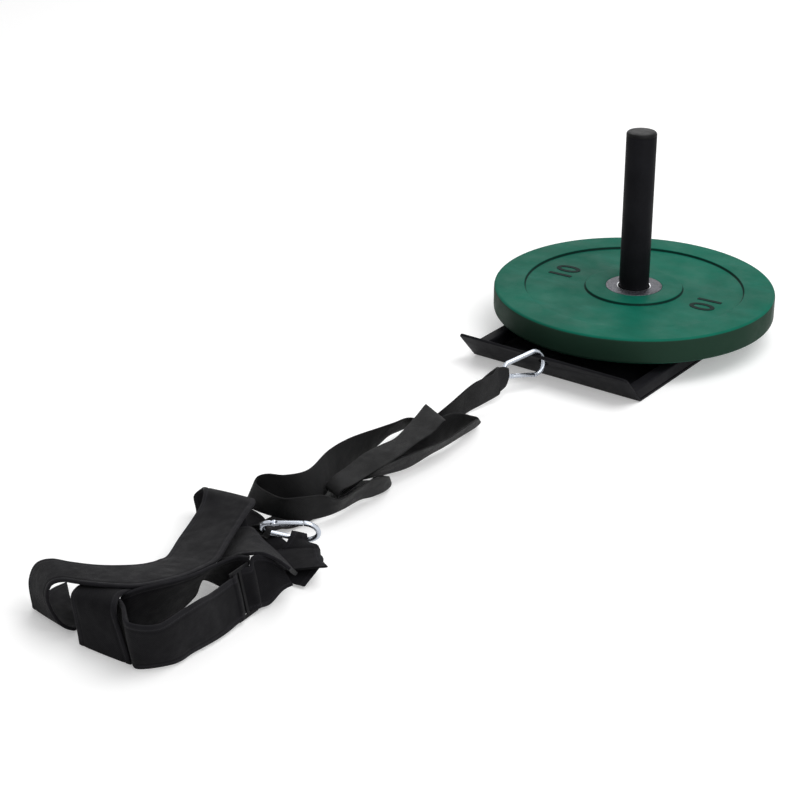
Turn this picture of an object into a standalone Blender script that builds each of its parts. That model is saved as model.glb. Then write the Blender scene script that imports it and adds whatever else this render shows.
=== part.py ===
"""Drag sled: a steel tray with a weight post, one bumper plate, a folded pull strap and a shoulder
harness, joined by two snap hooks. Metres, +Z up. The origin is on the floor under the post's axis,
-Y is the way the sled is pulled, and +X is across the tray."""

import math

import bmesh
import bpy
from mathutils import Matrix, Vector

GAP = 0.0003

# Tray
TRAY_WIDTH = 0.300
TRAY_FRONT = -0.232
TRAY_REAR = 0.195
SHEET = 0.004
LIP_RUN = 0.046
LIP_RISE = 0.050
LIP_CORNER = 0.006
BEND_RADIUS = 0.010
RAIL = 0.020
RAIL_WALL = 0.002
RAIL_CORNER = 0.003
PLUG_DEPTH = 0.012

# Post and its foot
CROSS_WIDTH = 0.040
FOOT_LENGTH = 0.110
FOOT_THICK = 0.006
SCREW_SPACING = 0.084
POST_RADIUS = 0.024
POST_WALL = 0.0025
POST_TOP = 0.337
CAP_THICK = 0.006
COLLAR_RADIUS = 0.038
COLLAR_THICK = 0.0075

# Bumper plate
PLATE_RADIUS = 0.225
PLATE_THICK = 0.0406
PLATE_EDGE = 0.004
RING_OUTER = 0.176
RING_INNER = 0.079
RING_DEPTH = 0.004
HUB_FLANGE = 0.045
HUB_SLEEVE = 0.033
HUB_BORE = 0.0253
HUB_FLANGE_THICK = 0.003

# Snap hooks
ROD = 0.0035
HOOK_LENGTH = 0.073
HOOK_BIG = 0.018
HOOK_SMALL = 0.0105
GATE_START = 0.020
GATE_PIVOT = 0.058
GATE_CLEAR = 0.0006
PIN_RADIUS = 0.0013
TONGUE = 0.0026
HOOK_HOLE_RADIUS = 0.0085
HOOK_HOLE_FROM_EDGE = 0.0150

# Webbing
STRAP_THICK = 0.0020
HARNESS_THICK = 0.0040
PANEL_THICK = 0.0030
PANEL_SPACING = 4.8

# Heights that follow from the stack
RAIL_TOP = SHEET + GAP + RAIL
FOOT_BASE = RAIL_TOP + GAP
FOOT_TOP = FOOT_BASE + FOOT_THICK
COLLAR_BASE = FOOT_TOP + GAP
COLLAR_TOP = COLLAR_BASE + COLLAR_THICK
PLATE_BASE = COLLAR_TOP + GAP
PLATE_TOP = PLATE_BASE + PLATE_THICK

# Where the two hooks lie: the middle of the big end's bend, the way to the small end, and across
FRONT_HOOK_AT = (-0.002, -0.2645, 0.0400)
FRONT_HOOK_ALONG = (-0.38, -0.925, 0.0)
FRONT_HOOK_ACROSS = (-0.16, 0.13, 0.98)
FRONT_EYE_AWAY = (0.15, -0.98, 0.15)
HARNESS_HOOK_AT = (0.051, -0.883, 0.032)
HARNESS_HOOK_ALONG = (-0.82, -0.55, 0.10)
HARNESS_HOOK_ACROSS = (0.34, -0.30, 0.89)
HARNESS_EYE_AWAY = (-0.75, 0.45, -0.45)
PANEL_EYE_AWAY = (0.62, -0.75, -0.20)

# The slider that the right shoulder strap passes through: up out of its first window and back down
SLIDER_BAR = 0.0045
SLIDER_WINDOW = 0.0110
SLIDER_THICK = 0.0025
SLIDER_SIDE = 0.0030
SLIDER_WEAVE = [(-23, 4), (-15.5, 5.2), (-8.5, 0), (-2, -4.1), (2, -4.1), (8.5, 0), (15.5, 5.2), (23, 2.5)]

# Webbing routes: the two edges of the band, station by station, in millimetres
PULL_STRAP_START = [
    ((-29, -398, 52), (-30, -374, 12)),
    ((-28, -379, 52), (-29, -363, 10)),
]
PULL_STRAP_END = [
    ((-12, -884, 12), (-40, -897, 13)),
]
PULL_STRAP_ROUTE = [
    ((-22, -377, 52), (-21, -361, 9)),
    ((-26, -419, 49), (-27, -392, 8)),
    ((-34, -470, 31), (-34, -432, 5)),
    ((-50, -505, 15), (-18, -480, 4)),
    ((-58, -560, 3), (-12, -545, 3)),
    ((-60, -610, 3), (-12, -600, 3)),
    ((-58, -632, 5), (-12, -620, 5)),
    ((-57, -645, 12), (-12, -633, 12)),
    ((-51, -636, 21), (-9, -622, 19)),
    ((-34, -612, 30), (-2, -592, 14)),
    ((-14, -572, 40), (-4, -563, 4)),
    ((-7, -549, 42), (-5, -543, 4)),
    ((-1, -529, 49), (-5, -522, 4)),
    ((7, -507, 47), (-3, -493, 5)),
    ((16, -488, 38), (-1, -464, 7)),
    ((22, -477, 31), (5, -446, 9)),
    ((26, -500, 34), (10, -462, 9)),
    ((29, -532, 35), (9, -497, 8)),
    ((32, -569, 37), (9, -540, 8)),
    ((30, -606, 40), (7, -576, 8)),
    ((23, -650, 42), (5, -624, 7)),
    ((12, -692, 39), (-7, -662, 8)),
    ((5, -722, 32), (-19, -700, 12)),
    ((1, -755, 24), (-29, -738, 15)),
    ((0, -771, 22), (-32, -757, 17)),
    ((2, -779, 26), (-30, -765, 27)),
    ((5, -773, 34), (-26, -752, 37)),
    ((10, -757, 36), (-24, -725, 41)),
    ((13, -726, 39), (-23, -692, 46)),
    ((20, -690, 45), (-20, -658, 47)),
    ((22, -662, 48), (-15, -629, 48)),
    ((22, -626, 51), (-18, -596, 53)),
    ((24, -591, 54), (-21, -571, 58)),
    ((20, -563, 58), (-26, -543, 63)),
    ((17, -552, 55), (-30, -535, 59)),
    ((8, -554, 51), (-34, -536, 44)),
    ((-20, -553, 46), (-56, -532, 21)),
    ((-44, -557, 44), (-70, -537, 10)),
    ((-48, -585, 46), (-71, -568, 12)),
    ((-51, -613, 49), (-69, -600, 8)),
    ((-55, -677, 57), (-58, -671, 10)),
    ((-54, -728, 58), (-46, -725, 12)),
    ((-44, -784, 55), (-30, -777, 12)),
    ((-56, -818, 57), (-50, -806, 12)),
    ((-74, -832, 59), (-84, -829, 11)),
    ((-85, -840, 55), (-106, -836, 9)),
    ((-81, -850, 50), (-102, -847, 9)),
    ((-55, -857, 48), (-74, -851, 9)),
    ((-26, -860, 49), (-38, -847, 9)),
    ((-6, -846, 51), (-14, -833, 8)),
    ((10, -823, 49), (2, -808, 8)),
    ((25, -806, 38), (8, -779, 8)),
    ((29, -777, 35), (10, -743, 8)),
    ((32, -748, 38), (16, -722, 6)),
    ((34, -724, 38), (20, -700, 6)),
    ((33, -708, 35), (18, -683, 7)),
    ((26, -702, 31), (7, -672, 6)),
    ((15, -713, 32), (-8, -680, 5)),
    ((6, -738, 18), (-29, -693, 3)),
    ((-3, -766, 10), (-49, -736, 3)),
    ((-8, -796, 5), (-57, -782, 3)),
    ((-13, -838, 4), (-58, -848, 6)),
    ((-16, -862, 8), (-54, -876, 11)),
    ((-13, -881, 17), (-42, -893, 19)),
]
LEFT_STRAP_ROUTE = [
    ((-108, -958, 8), (-34, -946, 8)),
    ((-130, -916, 14), (-52, -904, 14)),
    ((-152, -895, 27), (-72, -884, 29)),
    ((-138, -894, 43), (-56, -884, 46)),
    ((-119, -911, 52), (-40, -901, 53)),
    ((-104, -934, 46), (-28, -931, 54)),
    ((-90, -970, 41), (-13, -966, 54)),
    ((-72, -1013, 41), (5, -1004, 56)),
    ((-50, -1058, 44), (27, -1050, 60)),
    ((-45, -1079, 49), (31, -1082, 64)),
    ((-44, -1092, 52), (32, -1108, 68)),
    ((-46, -1114, 58), (32, -1140, 75)),
    ((-57, -1140, 65), (16, -1178, 79)),
    ((-77, -1157, 67), (-12, -1202, 82)),
    ((-107, -1168, 66), (-43, -1213, 80)),
    ((-136, -1173, 63), (-72, -1217, 75)),
    ((-155, -1180, 53), (-88, -1222, 64)),
    ((-158, -1190, 33), (-90, -1224, 42)),
    ((-146, -1199, 11), (-80, -1216, 13)),
    ((-148, -1194, 4), (-67, -1204, 4)),
    ((-160, -1156, 3), (-92, -1180, 3)),
    ((-157, -1130, 3), (-124, -1157, 3)),
]
RIGHT_STRAP_ROUTE = [
    ((-8, -1202, 70), (4, -1200, 4)),
    ((4, -1206, 71), (15, -1203, 2)),
    ((24, -1214, 73), (34, -1211, 2)),
    ((54, -1238, 74), (51, -1222, 2)),
    ((84, -1222, 73), (78, -1190, 3)),
    ((89, -1186, 76), (81, -1160, 4)),
    ((88, -1150, 75), (84, -1126, 4)),
    ((80, -1122, 67), (84, -1103, 4)),
]
SLIDER_STATION = ((69, -1060, 64), (79, -1057, 6.5))
RIGHT_STRAP_END = [
    ((73, -1030, 71.5), (82, -1031, 4)),
    ((79, -1025, 71.5), (84, -1021, 5)),
    ((84, -1014, 61), (89, -1003, 17)),
    ((89, -1003, 49), (96, -991, 22)),
]
FRONT_STRAP_ROUTE = [
    ((-45, -1221, 1), (35, -1218, 1)),
    ((-45, -1223, 20), (31, -1221, 26)),
    ((-47, -1224, 39), (26, -1223, 48)),
    ((-49, -1225, 58), (22, -1223, 65)),
    ((-51, -1222, 67), (19, -1219, 74)),
    ((-53, -1212, 70), (13, -1208, 78)),
    ((-54, -1199, 69), (11, -1196, 78)),
    ((-55, -1180, 64), (12, -1178, 73.5)),
    ((-54, -1158, 60), (14, -1157, 70)),
    ((-50, -1135, 56), (18, -1135, 66)),
    ((-46, -1112, 50), (20, -1112, 60)),
]
INNER_STRAP_ROUTE = [
    ((66, -1043, 73), (48, -1033, 8)),
    ((51, -1046, 70.5), (22, -1028, 6)),
    ((43, -1076, 68), (-22, -1026, 6)),
    ((43, -1109, 74), (-4, -1062, 5)),
    ((41, -1141, 80), (5, -1104, 4)),
    ((33, -1164, 82.5), (7, -1138, 4)),
    ((22, -1182, 80), (3, -1166, 4)),
    ((15, -1192, 75.5), (-2, -1182, 4)),
    ((4, -1196, 71), (-10, -1188, 4)),
]
CROSS_STRAP_ROUTE = [
    ((-44, -1012, 24), (-80, -942, 18)),
    ((-14, -1019, 31), (-52, -936, 28)),
    ((11, -1018, 39), (-22, -935, 40)),
    ((37, -1025, 58), (2, -950, 50)),
    ((60, -1036, 73), (29, -967, 52)),
    ((79, -1028, 77), (46, -964, 40)),
    ((97, -1023, 73), (66, -965, 29)),
    ((112, -1024, 70), (80, -970, 25)),
    ((118, -1022, 66), (85, -970, 23)),
]
# A short band that lies flat under the hook and the other bands' ends
TAIL_STRAP_ROUTE = [
    ((-104, -836, 3), (-92, -884, 3)),
    ((-70, -846, 3), (-60, -891, 3)),
    ((-44, -868, 3), (-34, -903, 3)),
    ((-6, -884, 3), (-2, -917, 3)),
    ((34, -900, 3), (24, -922, 3)),
]
# Midway between the panel's upper layer and the lining under it
BACK_PANEL_ROUTE = [
    ((40, -966, 7), (116, -945, 31)),
    ((20, -948, 8), (94, -930, 27)),
    ((4, -931, 8), (76, -911, 24)),
    ((12, -924, 12), (70, -904, 22)),
    ((22, -919, 16), (62, -898, 23)),
]
BACK_PANEL_LINING_END = ((26, -970, 3), (91, -962, 4))


def clear_scene():
    for obj in list(bpy.data.objects):
        bpy.data.objects.remove(obj, do_unlink=True)


def collection(name, parent):
    made = bpy.data.collections.new(name)
    parent.children.link(made)
    return made


def finish(name, colour, roughness, metallic):
    made = bpy.data.materials.new(name)
    made.use_nodes = True
    made.diffuse_color = (*colour, 1.0)
    shader = made.node_tree.nodes["Principled BSDF"]
    shader.inputs["Base Color"].default_value = (*colour, 1.0)
    shader.inputs["Roughness"].default_value = roughness
    shader.inputs["Metallic"].default_value = metallic
    return made


def mesh_object(name, shape, group, material=None):
    data = bpy.data.meshes.new(name)
    shape.to_mesh(data)
    shape.free()
    obj = bpy.data.objects.new(name, data)
    group.objects.link(obj)
    if material:
        data.materials.append(material)
    return obj


def smooth(obj, degrees=35.0):
    obj.data.shade_smooth()
    obj.data.set_sharp_from_angle(angle=math.radians(degrees))
    return obj


def box(name, low, high, group, material=None):
    shape = bmesh.new()
    bmesh.ops.create_cube(shape, size=1.0)
    size = Vector(high) - Vector(low)
    middle = (Vector(high) + Vector(low)) / 2
    bmesh.ops.scale(shape, vec=size, verts=shape.verts)
    bmesh.ops.translate(shape, vec=middle, verts=shape.verts)
    return mesh_object(name, shape, group, material)


def rod(name, radius, start, end, group, material=None, sides=32, end_radius=None):
    start, end = Vector(start), Vector(end)
    shape = bmesh.new()
    top = radius if end_radius is None else end_radius
    bmesh.ops.create_cone(
        shape, cap_ends=True, segments=sides, radius1=radius, radius2=top, depth=(end - start).length
    )
    turn = (end - start).to_track_quat("Z", "Y").to_matrix().to_4x4()
    shape.transform(Matrix.Translation((start + end) / 2) @ turn)
    return mesh_object(name, shape, group, material)


def turned(name, profile, group, material, steps=64):
    """A profile of (radius, height) points, run down its outer side, turned round the Z axis."""
    shape = bmesh.new()
    points = [shape.verts.new((radius, 0.0, height)) for radius, height in profile]
    for i, point in enumerate(points):
        shape.edges.new((point, points[(i + 1) % len(points)]))
    obj = mesh_object(name, shape, group, material)
    screw = obj.modifiers.new("Turn", "SCREW")
    screw.axis = "Z"
    screw.steps = steps
    screw.render_steps = steps
    screw.use_merge_vertices = True
    screw.merge_threshold = 0.00001
    return obj


def cut(obj, tools, operation="DIFFERENCE"):
    for tool in tools:
        change = obj.modifiers.new(operation.title(), "BOOLEAN")
        change.operation = operation
        change.solver = "EXACT"
        change.object = tool
    return obj


def bevel(obj, width, segments=2, degrees=40.0):
    change = obj.modifiers.new("Bevel", "BEVEL")
    change.width = width
    change.segments = segments
    change.limit_method = "ANGLE"
    change.angle_limit = math.radians(degrees)
    return obj


def between(a, b, c, d, t):
    """The point at t between b and c on the smooth curve through a, b, c and d."""
    return 0.5 * (
        2 * b + (c - a) * t + (2 * a - 5 * b + 4 * c - d) * t**2 + (3 * b - a - 3 * c + d) * t**3
    )


def smoothed(points, steps):
    ends = [2 * points[0] - points[1], *points, 2 * points[-1] - points[-2]]
    found = []
    for a, b, c, d in zip(ends, ends[1:], ends[2:], ends[3:]):
        found += [between(a, b, c, d, step / steps) for step in range(steps)]
    return [*found, points[-1]]


def band(name, route, thickness, group, material, steps=3, columns=1):
    """A strap along its two edges' route, with a wall of its thickness."""
    sides = [[Vector(station[side]) / 1000 for station in route] for side in (0, 1)]
    left, right = (smoothed(side, steps) for side in sides)
    shape = bmesh.new()
    rows = []
    for a, b in zip(left, right):
        rows.append([shape.verts.new(a.lerp(b, i / columns)) for i in range(columns + 1)])
    for near, far in zip(rows, rows[1:]):
        for i in range(columns):
            shape.faces.new((near[i], near[i + 1], far[i + 1], far[i]))
    obj = mesh_object(name, shape, group, material)
    wall = obj.modifiers.new("Thickness", "SOLIDIFY")
    wall.thickness = thickness
    wall.offset = 0.0
    return obj


# A folded eye, from above its rod: how far along and to which side of the rod the band runs
HALF_EYE = [(24, 2.2), (10, 5.2), (2, 6.4), (-3, 6.2), (-6.3, 3.2)]
EYE = HALF_EYE + [(along, -aside) for along, aside in HALF_EYE[::-1]]


def eye(centre, axis, away, widths, first=1, above=0.5):
    """Stations of a band that comes in along -away, turns round a rod and goes back."""
    z = Vector(axis).normalized()
    x = Vector(away)
    x = (x - x.dot(z) * z).normalized()
    y = z.cross(x) * first
    stations = []
    for (along, aside), width in zip(EYE, widths):
        middle = Vector(centre) * 1000 + along * x + aside * y
        stations.append((middle + z * width * above, middle - z * width * (1 - above)))
    return stations


def layer(stations, lift):
    """The stations moved up off their own surface, in millimetres."""
    middles = [(Vector(a) + Vector(b)) / 2 for a, b in stations]
    moved = []
    for i, (a, b) in enumerate(stations):
        along = middles[min(i + 1, len(stations) - 1)] - middles[max(i - 1, 0)]
        up = along.cross(Vector(b) - Vector(a)).normalized()
        up = up if up.z > 0 else -up
        moved.append((Vector(a) + lift * up, Vector(b) + lift * up))
    return moved


class Hook:
    """A snap hook's own frame: X along it from the big end, Y across it, Z out of its plane."""

    def __init__(self, at, along, across, gate_side):
        x = Vector(along).normalized()
        z = x.cross(Vector(across)).normalized()
        y = z.cross(x)
        self.matrix = Matrix.Translation(at) @ Matrix((x, y, z)).transposed().to_4x4()
        self.side = gate_side

    def half_width(self, s):
        t = (s - HOOK_BIG) / (HOOK_LENGTH - HOOK_SMALL - HOOK_BIG)
        return HOOK_BIG + (HOOK_SMALL - HOOK_BIG) * min(max(t, 0.0), 1.0)

    def world(self, s, w):
        return self.matrix @ Vector((s, w, 0.0))

    def small_end(self, degrees):
        """The rod's middle on the small end's bend, and the way that the rod runs there."""
        turn = math.radians(degrees)
        s = HOOK_LENGTH - HOOK_SMALL + HOOK_SMALL * math.cos(turn)
        w = HOOK_SMALL * math.sin(turn)
        along = self.matrix.to_3x3() @ Vector((-math.sin(turn), math.cos(turn), 0.0))
        return self.world(s, w), along

    def arm(self, s, side):
        """The rod's middle on the arm of one side, and the way that it runs to the small end."""
        ahead = s + 0.01
        start = self.world(s, side * self.half_width(s))
        return start, (self.world(ahead, side * self.half_width(ahead)) - start).normalized()


def hook_line(hook):
    """The body's centre line: from the gate's pivot round the small end, back and round to the nose."""
    side = hook.side
    small_at = HOOK_LENGTH - HOOK_SMALL
    points = [(GATE_PIVOT - 0.0022, side * hook.half_width(GATE_PIVOT - 0.0022))]
    for step in range(9):
        angle = math.pi / 2 - math.pi * step / 8
        points.append((small_at + HOOK_SMALL * math.cos(angle), side * HOOK_SMALL * math.sin(angle)))
    for share in (0.33, 0.67):
        s = small_at + (HOOK_BIG - small_at) * share
        points.append((s, -side * hook.half_width(s)))
    for step in range(11):
        angle = -math.pi / 2 - math.pi * step / 10
        points.append((HOOK_BIG + HOOK_BIG * math.cos(angle), side * HOOK_BIG * math.sin(angle)))
    nose = GATE_START - GATE_CLEAR
    points.append((nose, side * hook.half_width(nose)))
    return points


def wire(name, points, radius, group, material, resolution=2):
    """A bent rod along points, as a welded mesh that takes a Boolean."""
    data = bpy.data.curves.new(name, "CURVE")
    data.dimensions = "3D"
    data.bevel_depth = radius
    data.bevel_resolution = resolution
    data.use_fill_caps = True
    spline = data.splines.new("POLY")
    spline.points.add(len(points) - 1)
    for point, co in zip(spline.points, points):
        point.co = (*co, 1.0)
    curve = bpy.data.objects.new(name, data)
    group.objects.link(curve)
    bpy.context.view_layer.update()
    graph = bpy.context.evaluated_depsgraph_get()
    mesh = bpy.data.meshes.new_from_object(curve.evaluated_get(graph))
    shape = bmesh.new()
    shape.from_mesh(mesh)
    bmesh.ops.remove_doubles(shape, verts=shape.verts, dist=0.00001)
    shape.to_mesh(mesh)
    shape.free()
    bpy.data.objects.remove(curve)
    obj = bpy.data.objects.new(name, mesh)
    group.objects.link(obj)
    mesh.materials.clear()
    mesh.materials.append(material)
    return smooth(obj)


def make_tray(parts, cutters, paint):
    """The floor sheet, bent up at the front into the lip, with the pull hook's hole."""
    lip = Vector((0.0, -LIP_RUN, LIP_RISE)).normalized()
    half_turn = lip.angle(Vector((0.0, -1.0, 0.0))) / 2
    setback = BEND_RADIUS * math.tan(half_turn)
    crease = Vector((0.0, TRAY_FRONT, 0.0))
    profile = [Vector((0.0, TRAY_REAR, 0.0)), crease + Vector((0.0, setback, 0.0))]
    centre = profile[1] + Vector((0.0, 0.0, BEND_RADIUS))
    for step in range(1, 6):
        angle = 2 * half_turn * step / 6
        profile.append(centre + BEND_RADIUS * Vector((0.0, -math.sin(angle), -math.cos(angle))))
    profile.append(crease + setback * lip)
    profile.append(crease + Vector((0.0, -LIP_RUN, LIP_RISE)))
    shape = bmesh.new()
    rows = []
    for point in profile:
        rows.append([shape.verts.new((x, point.y, point.z)) for x in (-TRAY_WIDTH / 2, TRAY_WIDTH / 2)])
    for (a, b), (c, d) in zip(rows, rows[1:]):
        shape.faces.new((a, b, d, c))
    bmesh.ops.bevel(
        shape, geom=rows[-1], offset=LIP_CORNER, segments=4, profile=0.5, affect="VERTICES"
    )
    bmesh.ops.recalc_face_normals(shape, faces=shape.faces)
    if sum((face.normal.z for face in shape.faces)) < 0:
        bmesh.ops.reverse_faces(shape, faces=shape.faces)
    tray = mesh_object("tray_sheet", shape, parts, paint)
    wall = tray.modifiers.new("Thickness", "SOLIDIFY")
    wall.thickness = SHEET
    wall.offset = 1.0
    wall.use_even_offset = True
    normal = Vector((0.0, LIP_RISE, LIP_RUN)).normalized()
    hole_at = Vector((0.0, TRAY_FRONT - LIP_RUN, LIP_RISE)) - HOOK_HOLE_FROM_EDGE * lip
    reach = 3 * SHEET
    hole = rod(
        "hook_hole_cutter", HOOK_HOLE_RADIUS, hole_at - reach * normal, hole_at + reach * normal, cutters
    )
    cut(tray, [hole])
    return tray


def square_tube(name, low, high, axis, parts, cutters, material):
    """A square tube with rounded corners along one axis, open at both ends."""
    outer = box(name, low, high, parts, material)
    bevel_long_edges(outer, axis, RAIL_CORNER)
    inner_low = [v + RAIL_WALL if i != axis else v - 0.05 for i, v in enumerate(low)]
    inner_high = [v - RAIL_WALL if i != axis else v + 0.05 for i, v in enumerate(high)]
    inner = box(name + "_bore_cutter", inner_low, inner_high, cutters)
    bevel_long_edges(inner, axis, RAIL_CORNER - RAIL_WALL)
    return cut(outer, [inner])


def bevel_long_edges(obj, axis, width):
    shape = bmesh.new()
    shape.from_mesh(obj.data)
    long_edges = []
    for edge in shape.edges:
        run = edge.verts[0].co - edge.verts[1].co
        if abs(run[axis]) > 0.9 * run.length:
            long_edges.append(edge)
    bmesh.ops.bevel(shape, geom=long_edges, offset=width, segments=3, profile=0.5, affect="EDGES")
    shape.to_mesh(obj.data)
    shape.free()


def lip_wedge(cutters):
    """The space in front of the lip's inner face, which mitres the rails' front ends."""
    normal = Vector((0.0, LIP_RISE, LIP_RUN)).normalized()
    face = Vector((0.0, TRAY_FRONT, 0.0)) + (SHEET + GAP) * normal
    wedge = box("lip_wedge_cutter", (-0.2, -0.1, -0.1), (0.2, 0.1, 0.0), cutters)
    turn = normal.to_track_quat("Z", "Y").to_matrix().to_4x4()
    wedge.data.transform(Matrix.Translation(face) @ turn)
    return wedge


def bend_wedge(cutters):
    """The space over the bend, which takes the rails' front lower corners off."""
    lip = Vector((0.0, -LIP_RUN, LIP_RISE)).normalized()
    normal = Vector((0.0, LIP_RISE, LIP_RUN)).normalized()
    middle = (lip + Vector((0.0, 1.0, 0.0))).normalized()
    corner = Vector((0.0, TRAY_FRONT, 0.0)) + SHEET / normal.dot(middle) * middle
    wedge = box("bend_wedge_cutter", (-0.2, -0.03, -0.02), (0.2, 0.03, 0.0), cutters)
    turn = middle.to_track_quat("Z", "X").to_matrix().to_4x4()
    turn = turn @ Matrix.Rotation(math.pi / 2, 4, "Z")
    wedge.data.transform(Matrix.Translation(corner + 0.0011 * middle) @ turn)
    return wedge


def make_rails(parts, cutters, paint, plastic):
    half = TRAY_WIDTH / 2
    base = SHEET + GAP
    wedge = lip_wedge(cutters)
    bend = bend_wedge(cutters)
    front = TRAY_FRONT - LIP_RUN
    for name, x in (("left_rail", -half), ("right_rail", half - RAIL)):
        low, high = (x, front, base), (x + RAIL, TRAY_REAR, base + RAIL)
        rail = square_tube(name, low, high, 1, parts, cutters, paint)
        cut(rail, [wedge, bend])
        plug = box(
            name + "_plug",
            (x + RAIL_WALL + GAP, TRAY_REAR - PLUG_DEPTH, base + RAIL_WALL + GAP),
            (x + RAIL - RAIL_WALL - GAP, TRAY_REAR + 0.0015, base + RAIL - RAIL_WALL - GAP),
            parts,
            plastic,
        )
        bevel_long_edges(plug, 1, RAIL_CORNER - RAIL_WALL)
    inside = half - RAIL - GAP
    square_tube(
        "rear_rail",
        (-inside, TRAY_REAR - RAIL, base),
        (inside, TRAY_REAR, base + RAIL),
        0,
        parts,
        cutters,
        paint,
    )


def make_post(parts, cutters, paint, plastic, zinc):
    """The cross member, the foot bar and its screws, the post, its stop collar and its cap."""
    inside = TRAY_WIDTH / 2 - RAIL - GAP
    base = SHEET + GAP
    half = CROSS_WIDTH / 2
    cross = square_tube(
        "cross_member", (-inside, -half, base), (inside, half, base + RAIL), 0, parts, cutters, paint
    )
    foot = box(
        "post_foot", (-FOOT_LENGTH / 2, -half, FOOT_BASE), (FOOT_LENGTH / 2, half, FOOT_TOP), parts, paint
    )
    bevel_long_edges(foot, 2, 0.006)
    for side, name in ((-1, "left_foot_screw"), (1, "right_foot_screw")):
        x = side * SCREW_SPACING / 2
        clear = rod(
            name + "_hole_cutter", 0.0043, (x, 0, FOOT_BASE - 0.004), (x, 0, FOOT_TOP + 0.002), cutters
        )
        sink = rod(
            name + "_sink_cutter",
            0.0043,
            (x, 0, FOOT_TOP - 0.0042),
            (x, 0, FOOT_TOP + 0.0002),
            cutters,
            end_radius=0.0087,
        )
        cut(foot, [clear, sink])
        cut(cross, [clear])
        head = FOOT_TOP - 0.0003
        profile = [
            (0.0, head - 0.0028),
            (0.0025, head - 0.0028),
            (0.0025, head),
            (0.0080, head),
            (0.0039, head - 0.0041),
            (0.0039, head - 0.0150),
            (0.0032, head - 0.0157),
            (0.0, head - 0.0157),
        ]
        screw = turned_solid(name, profile, parts, zinc, steps=20)
        screw.location = (x, 0.0, 0.0)
    tube = [
        (POST_RADIUS, POST_TOP - CAP_THICK - GAP),
        (POST_RADIUS, COLLAR_BASE),
        (POST_RADIUS - POST_WALL, COLLAR_BASE),
        (POST_RADIUS - POST_WALL, POST_TOP - CAP_THICK - GAP),
    ]
    smooth(turned("post_tube", tube, parts, paint, steps=48))
    bore = POST_RADIUS + GAP
    collar = [
        (COLLAR_RADIUS - 0.0015, COLLAR_TOP),
        (COLLAR_RADIUS, COLLAR_TOP - 0.0015),
        (COLLAR_RADIUS, COLLAR_BASE),
        (bore, COLLAR_BASE),
        (bore, COLLAR_TOP),
    ]
    smooth(turned("post_stop_collar", collar, parts, paint, steps=48))
    stub = POST_RADIUS - POST_WALL - GAP
    under = POST_TOP - CAP_THICK
    cap = [
        (0.0, POST_TOP),
        (POST_RADIUS - 0.0060, POST_TOP - 0.0004),
        (POST_RADIUS - 0.0022, POST_TOP - 0.0016),
        (POST_RADIUS - 0.0005, POST_TOP - 0.0036),
        (POST_RADIUS, under),
        (stub, under),
        (stub, under - 0.014),
        (stub - 0.0025, under - 0.014),
        (stub - 0.0025, under),
        (0.0, under),
    ]
    smooth(turned_solid("post_cap", cap, parts, plastic, steps=48))


def turned_solid(name, profile, group, material, steps):
    """A turned piece whose profile starts and ends on the axis."""
    shape = bmesh.new()
    points = [shape.verts.new((radius, 0.0, height)) for radius, height in profile]
    for a, b in zip(points, points[1:]):
        shape.edges.new((a, b))
    bmesh.ops.spin(
        shape,
        geom=shape.verts[:] + shape.edges[:],
        cent=(0, 0, 0),
        axis=(0, 0, 1),
        angle=2 * math.pi,
        steps=steps,
        use_merge=True,
    )
    bmesh.ops.remove_doubles(shape, verts=shape.verts, dist=0.000002)
    bmesh.ops.recalc_face_normals(shape, faces=shape.faces)
    return mesh_object(name, shape, group, material)


def make_plate(parts, rubber, steel):
    """The rubber bumper plate with its recessed ring on both faces, and its steel hub."""
    top, base = PLATE_TOP, PLATE_BASE
    rim, edge, depth = PLATE_RADIUS, PLATE_EDGE, RING_DEPTH
    chamfer = 0.002
    upper = [
        (HUB_FLANGE + GAP, top),
        (RING_INNER - chamfer, top),
        (RING_INNER, top - depth),
        (RING_OUTER - chamfer, top - depth),
        (RING_OUTER, top),
        (rim - edge, top),
        (rim - 0.3 * edge, top - 0.3 * edge),
        (rim, top - edge),
    ]
    lower = [(radius, base + top - height) for radius, height in reversed(upper)]
    flange = HUB_FLANGE_THICK + GAP
    bore = [
        (HUB_FLANGE + GAP, base + flange),
        (HUB_SLEEVE + GAP, base + flange),
        (HUB_SLEEVE + GAP, top - flange),
        (HUB_FLANGE + GAP, top - flange),
    ]
    smooth(turned("plate_rubber", upper + lower + bore, parts, rubber, steps=72))
    lip = 0.0008
    hub = [
        (HUB_BORE + lip, top),
        (HUB_FLANGE, top),
        (HUB_FLANGE, top - HUB_FLANGE_THICK),
        (HUB_SLEEVE, top - HUB_FLANGE_THICK),
        (HUB_SLEEVE, base + HUB_FLANGE_THICK),
        (HUB_FLANGE, base + HUB_FLANGE_THICK),
        (HUB_FLANGE, base),
        (HUB_BORE + lip, base),
        (HUB_BORE, base + lip),
        (HUB_BORE, top - lip),
    ]
    smooth(turned("plate_hub", hub, parts, steel, steps=48))


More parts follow.
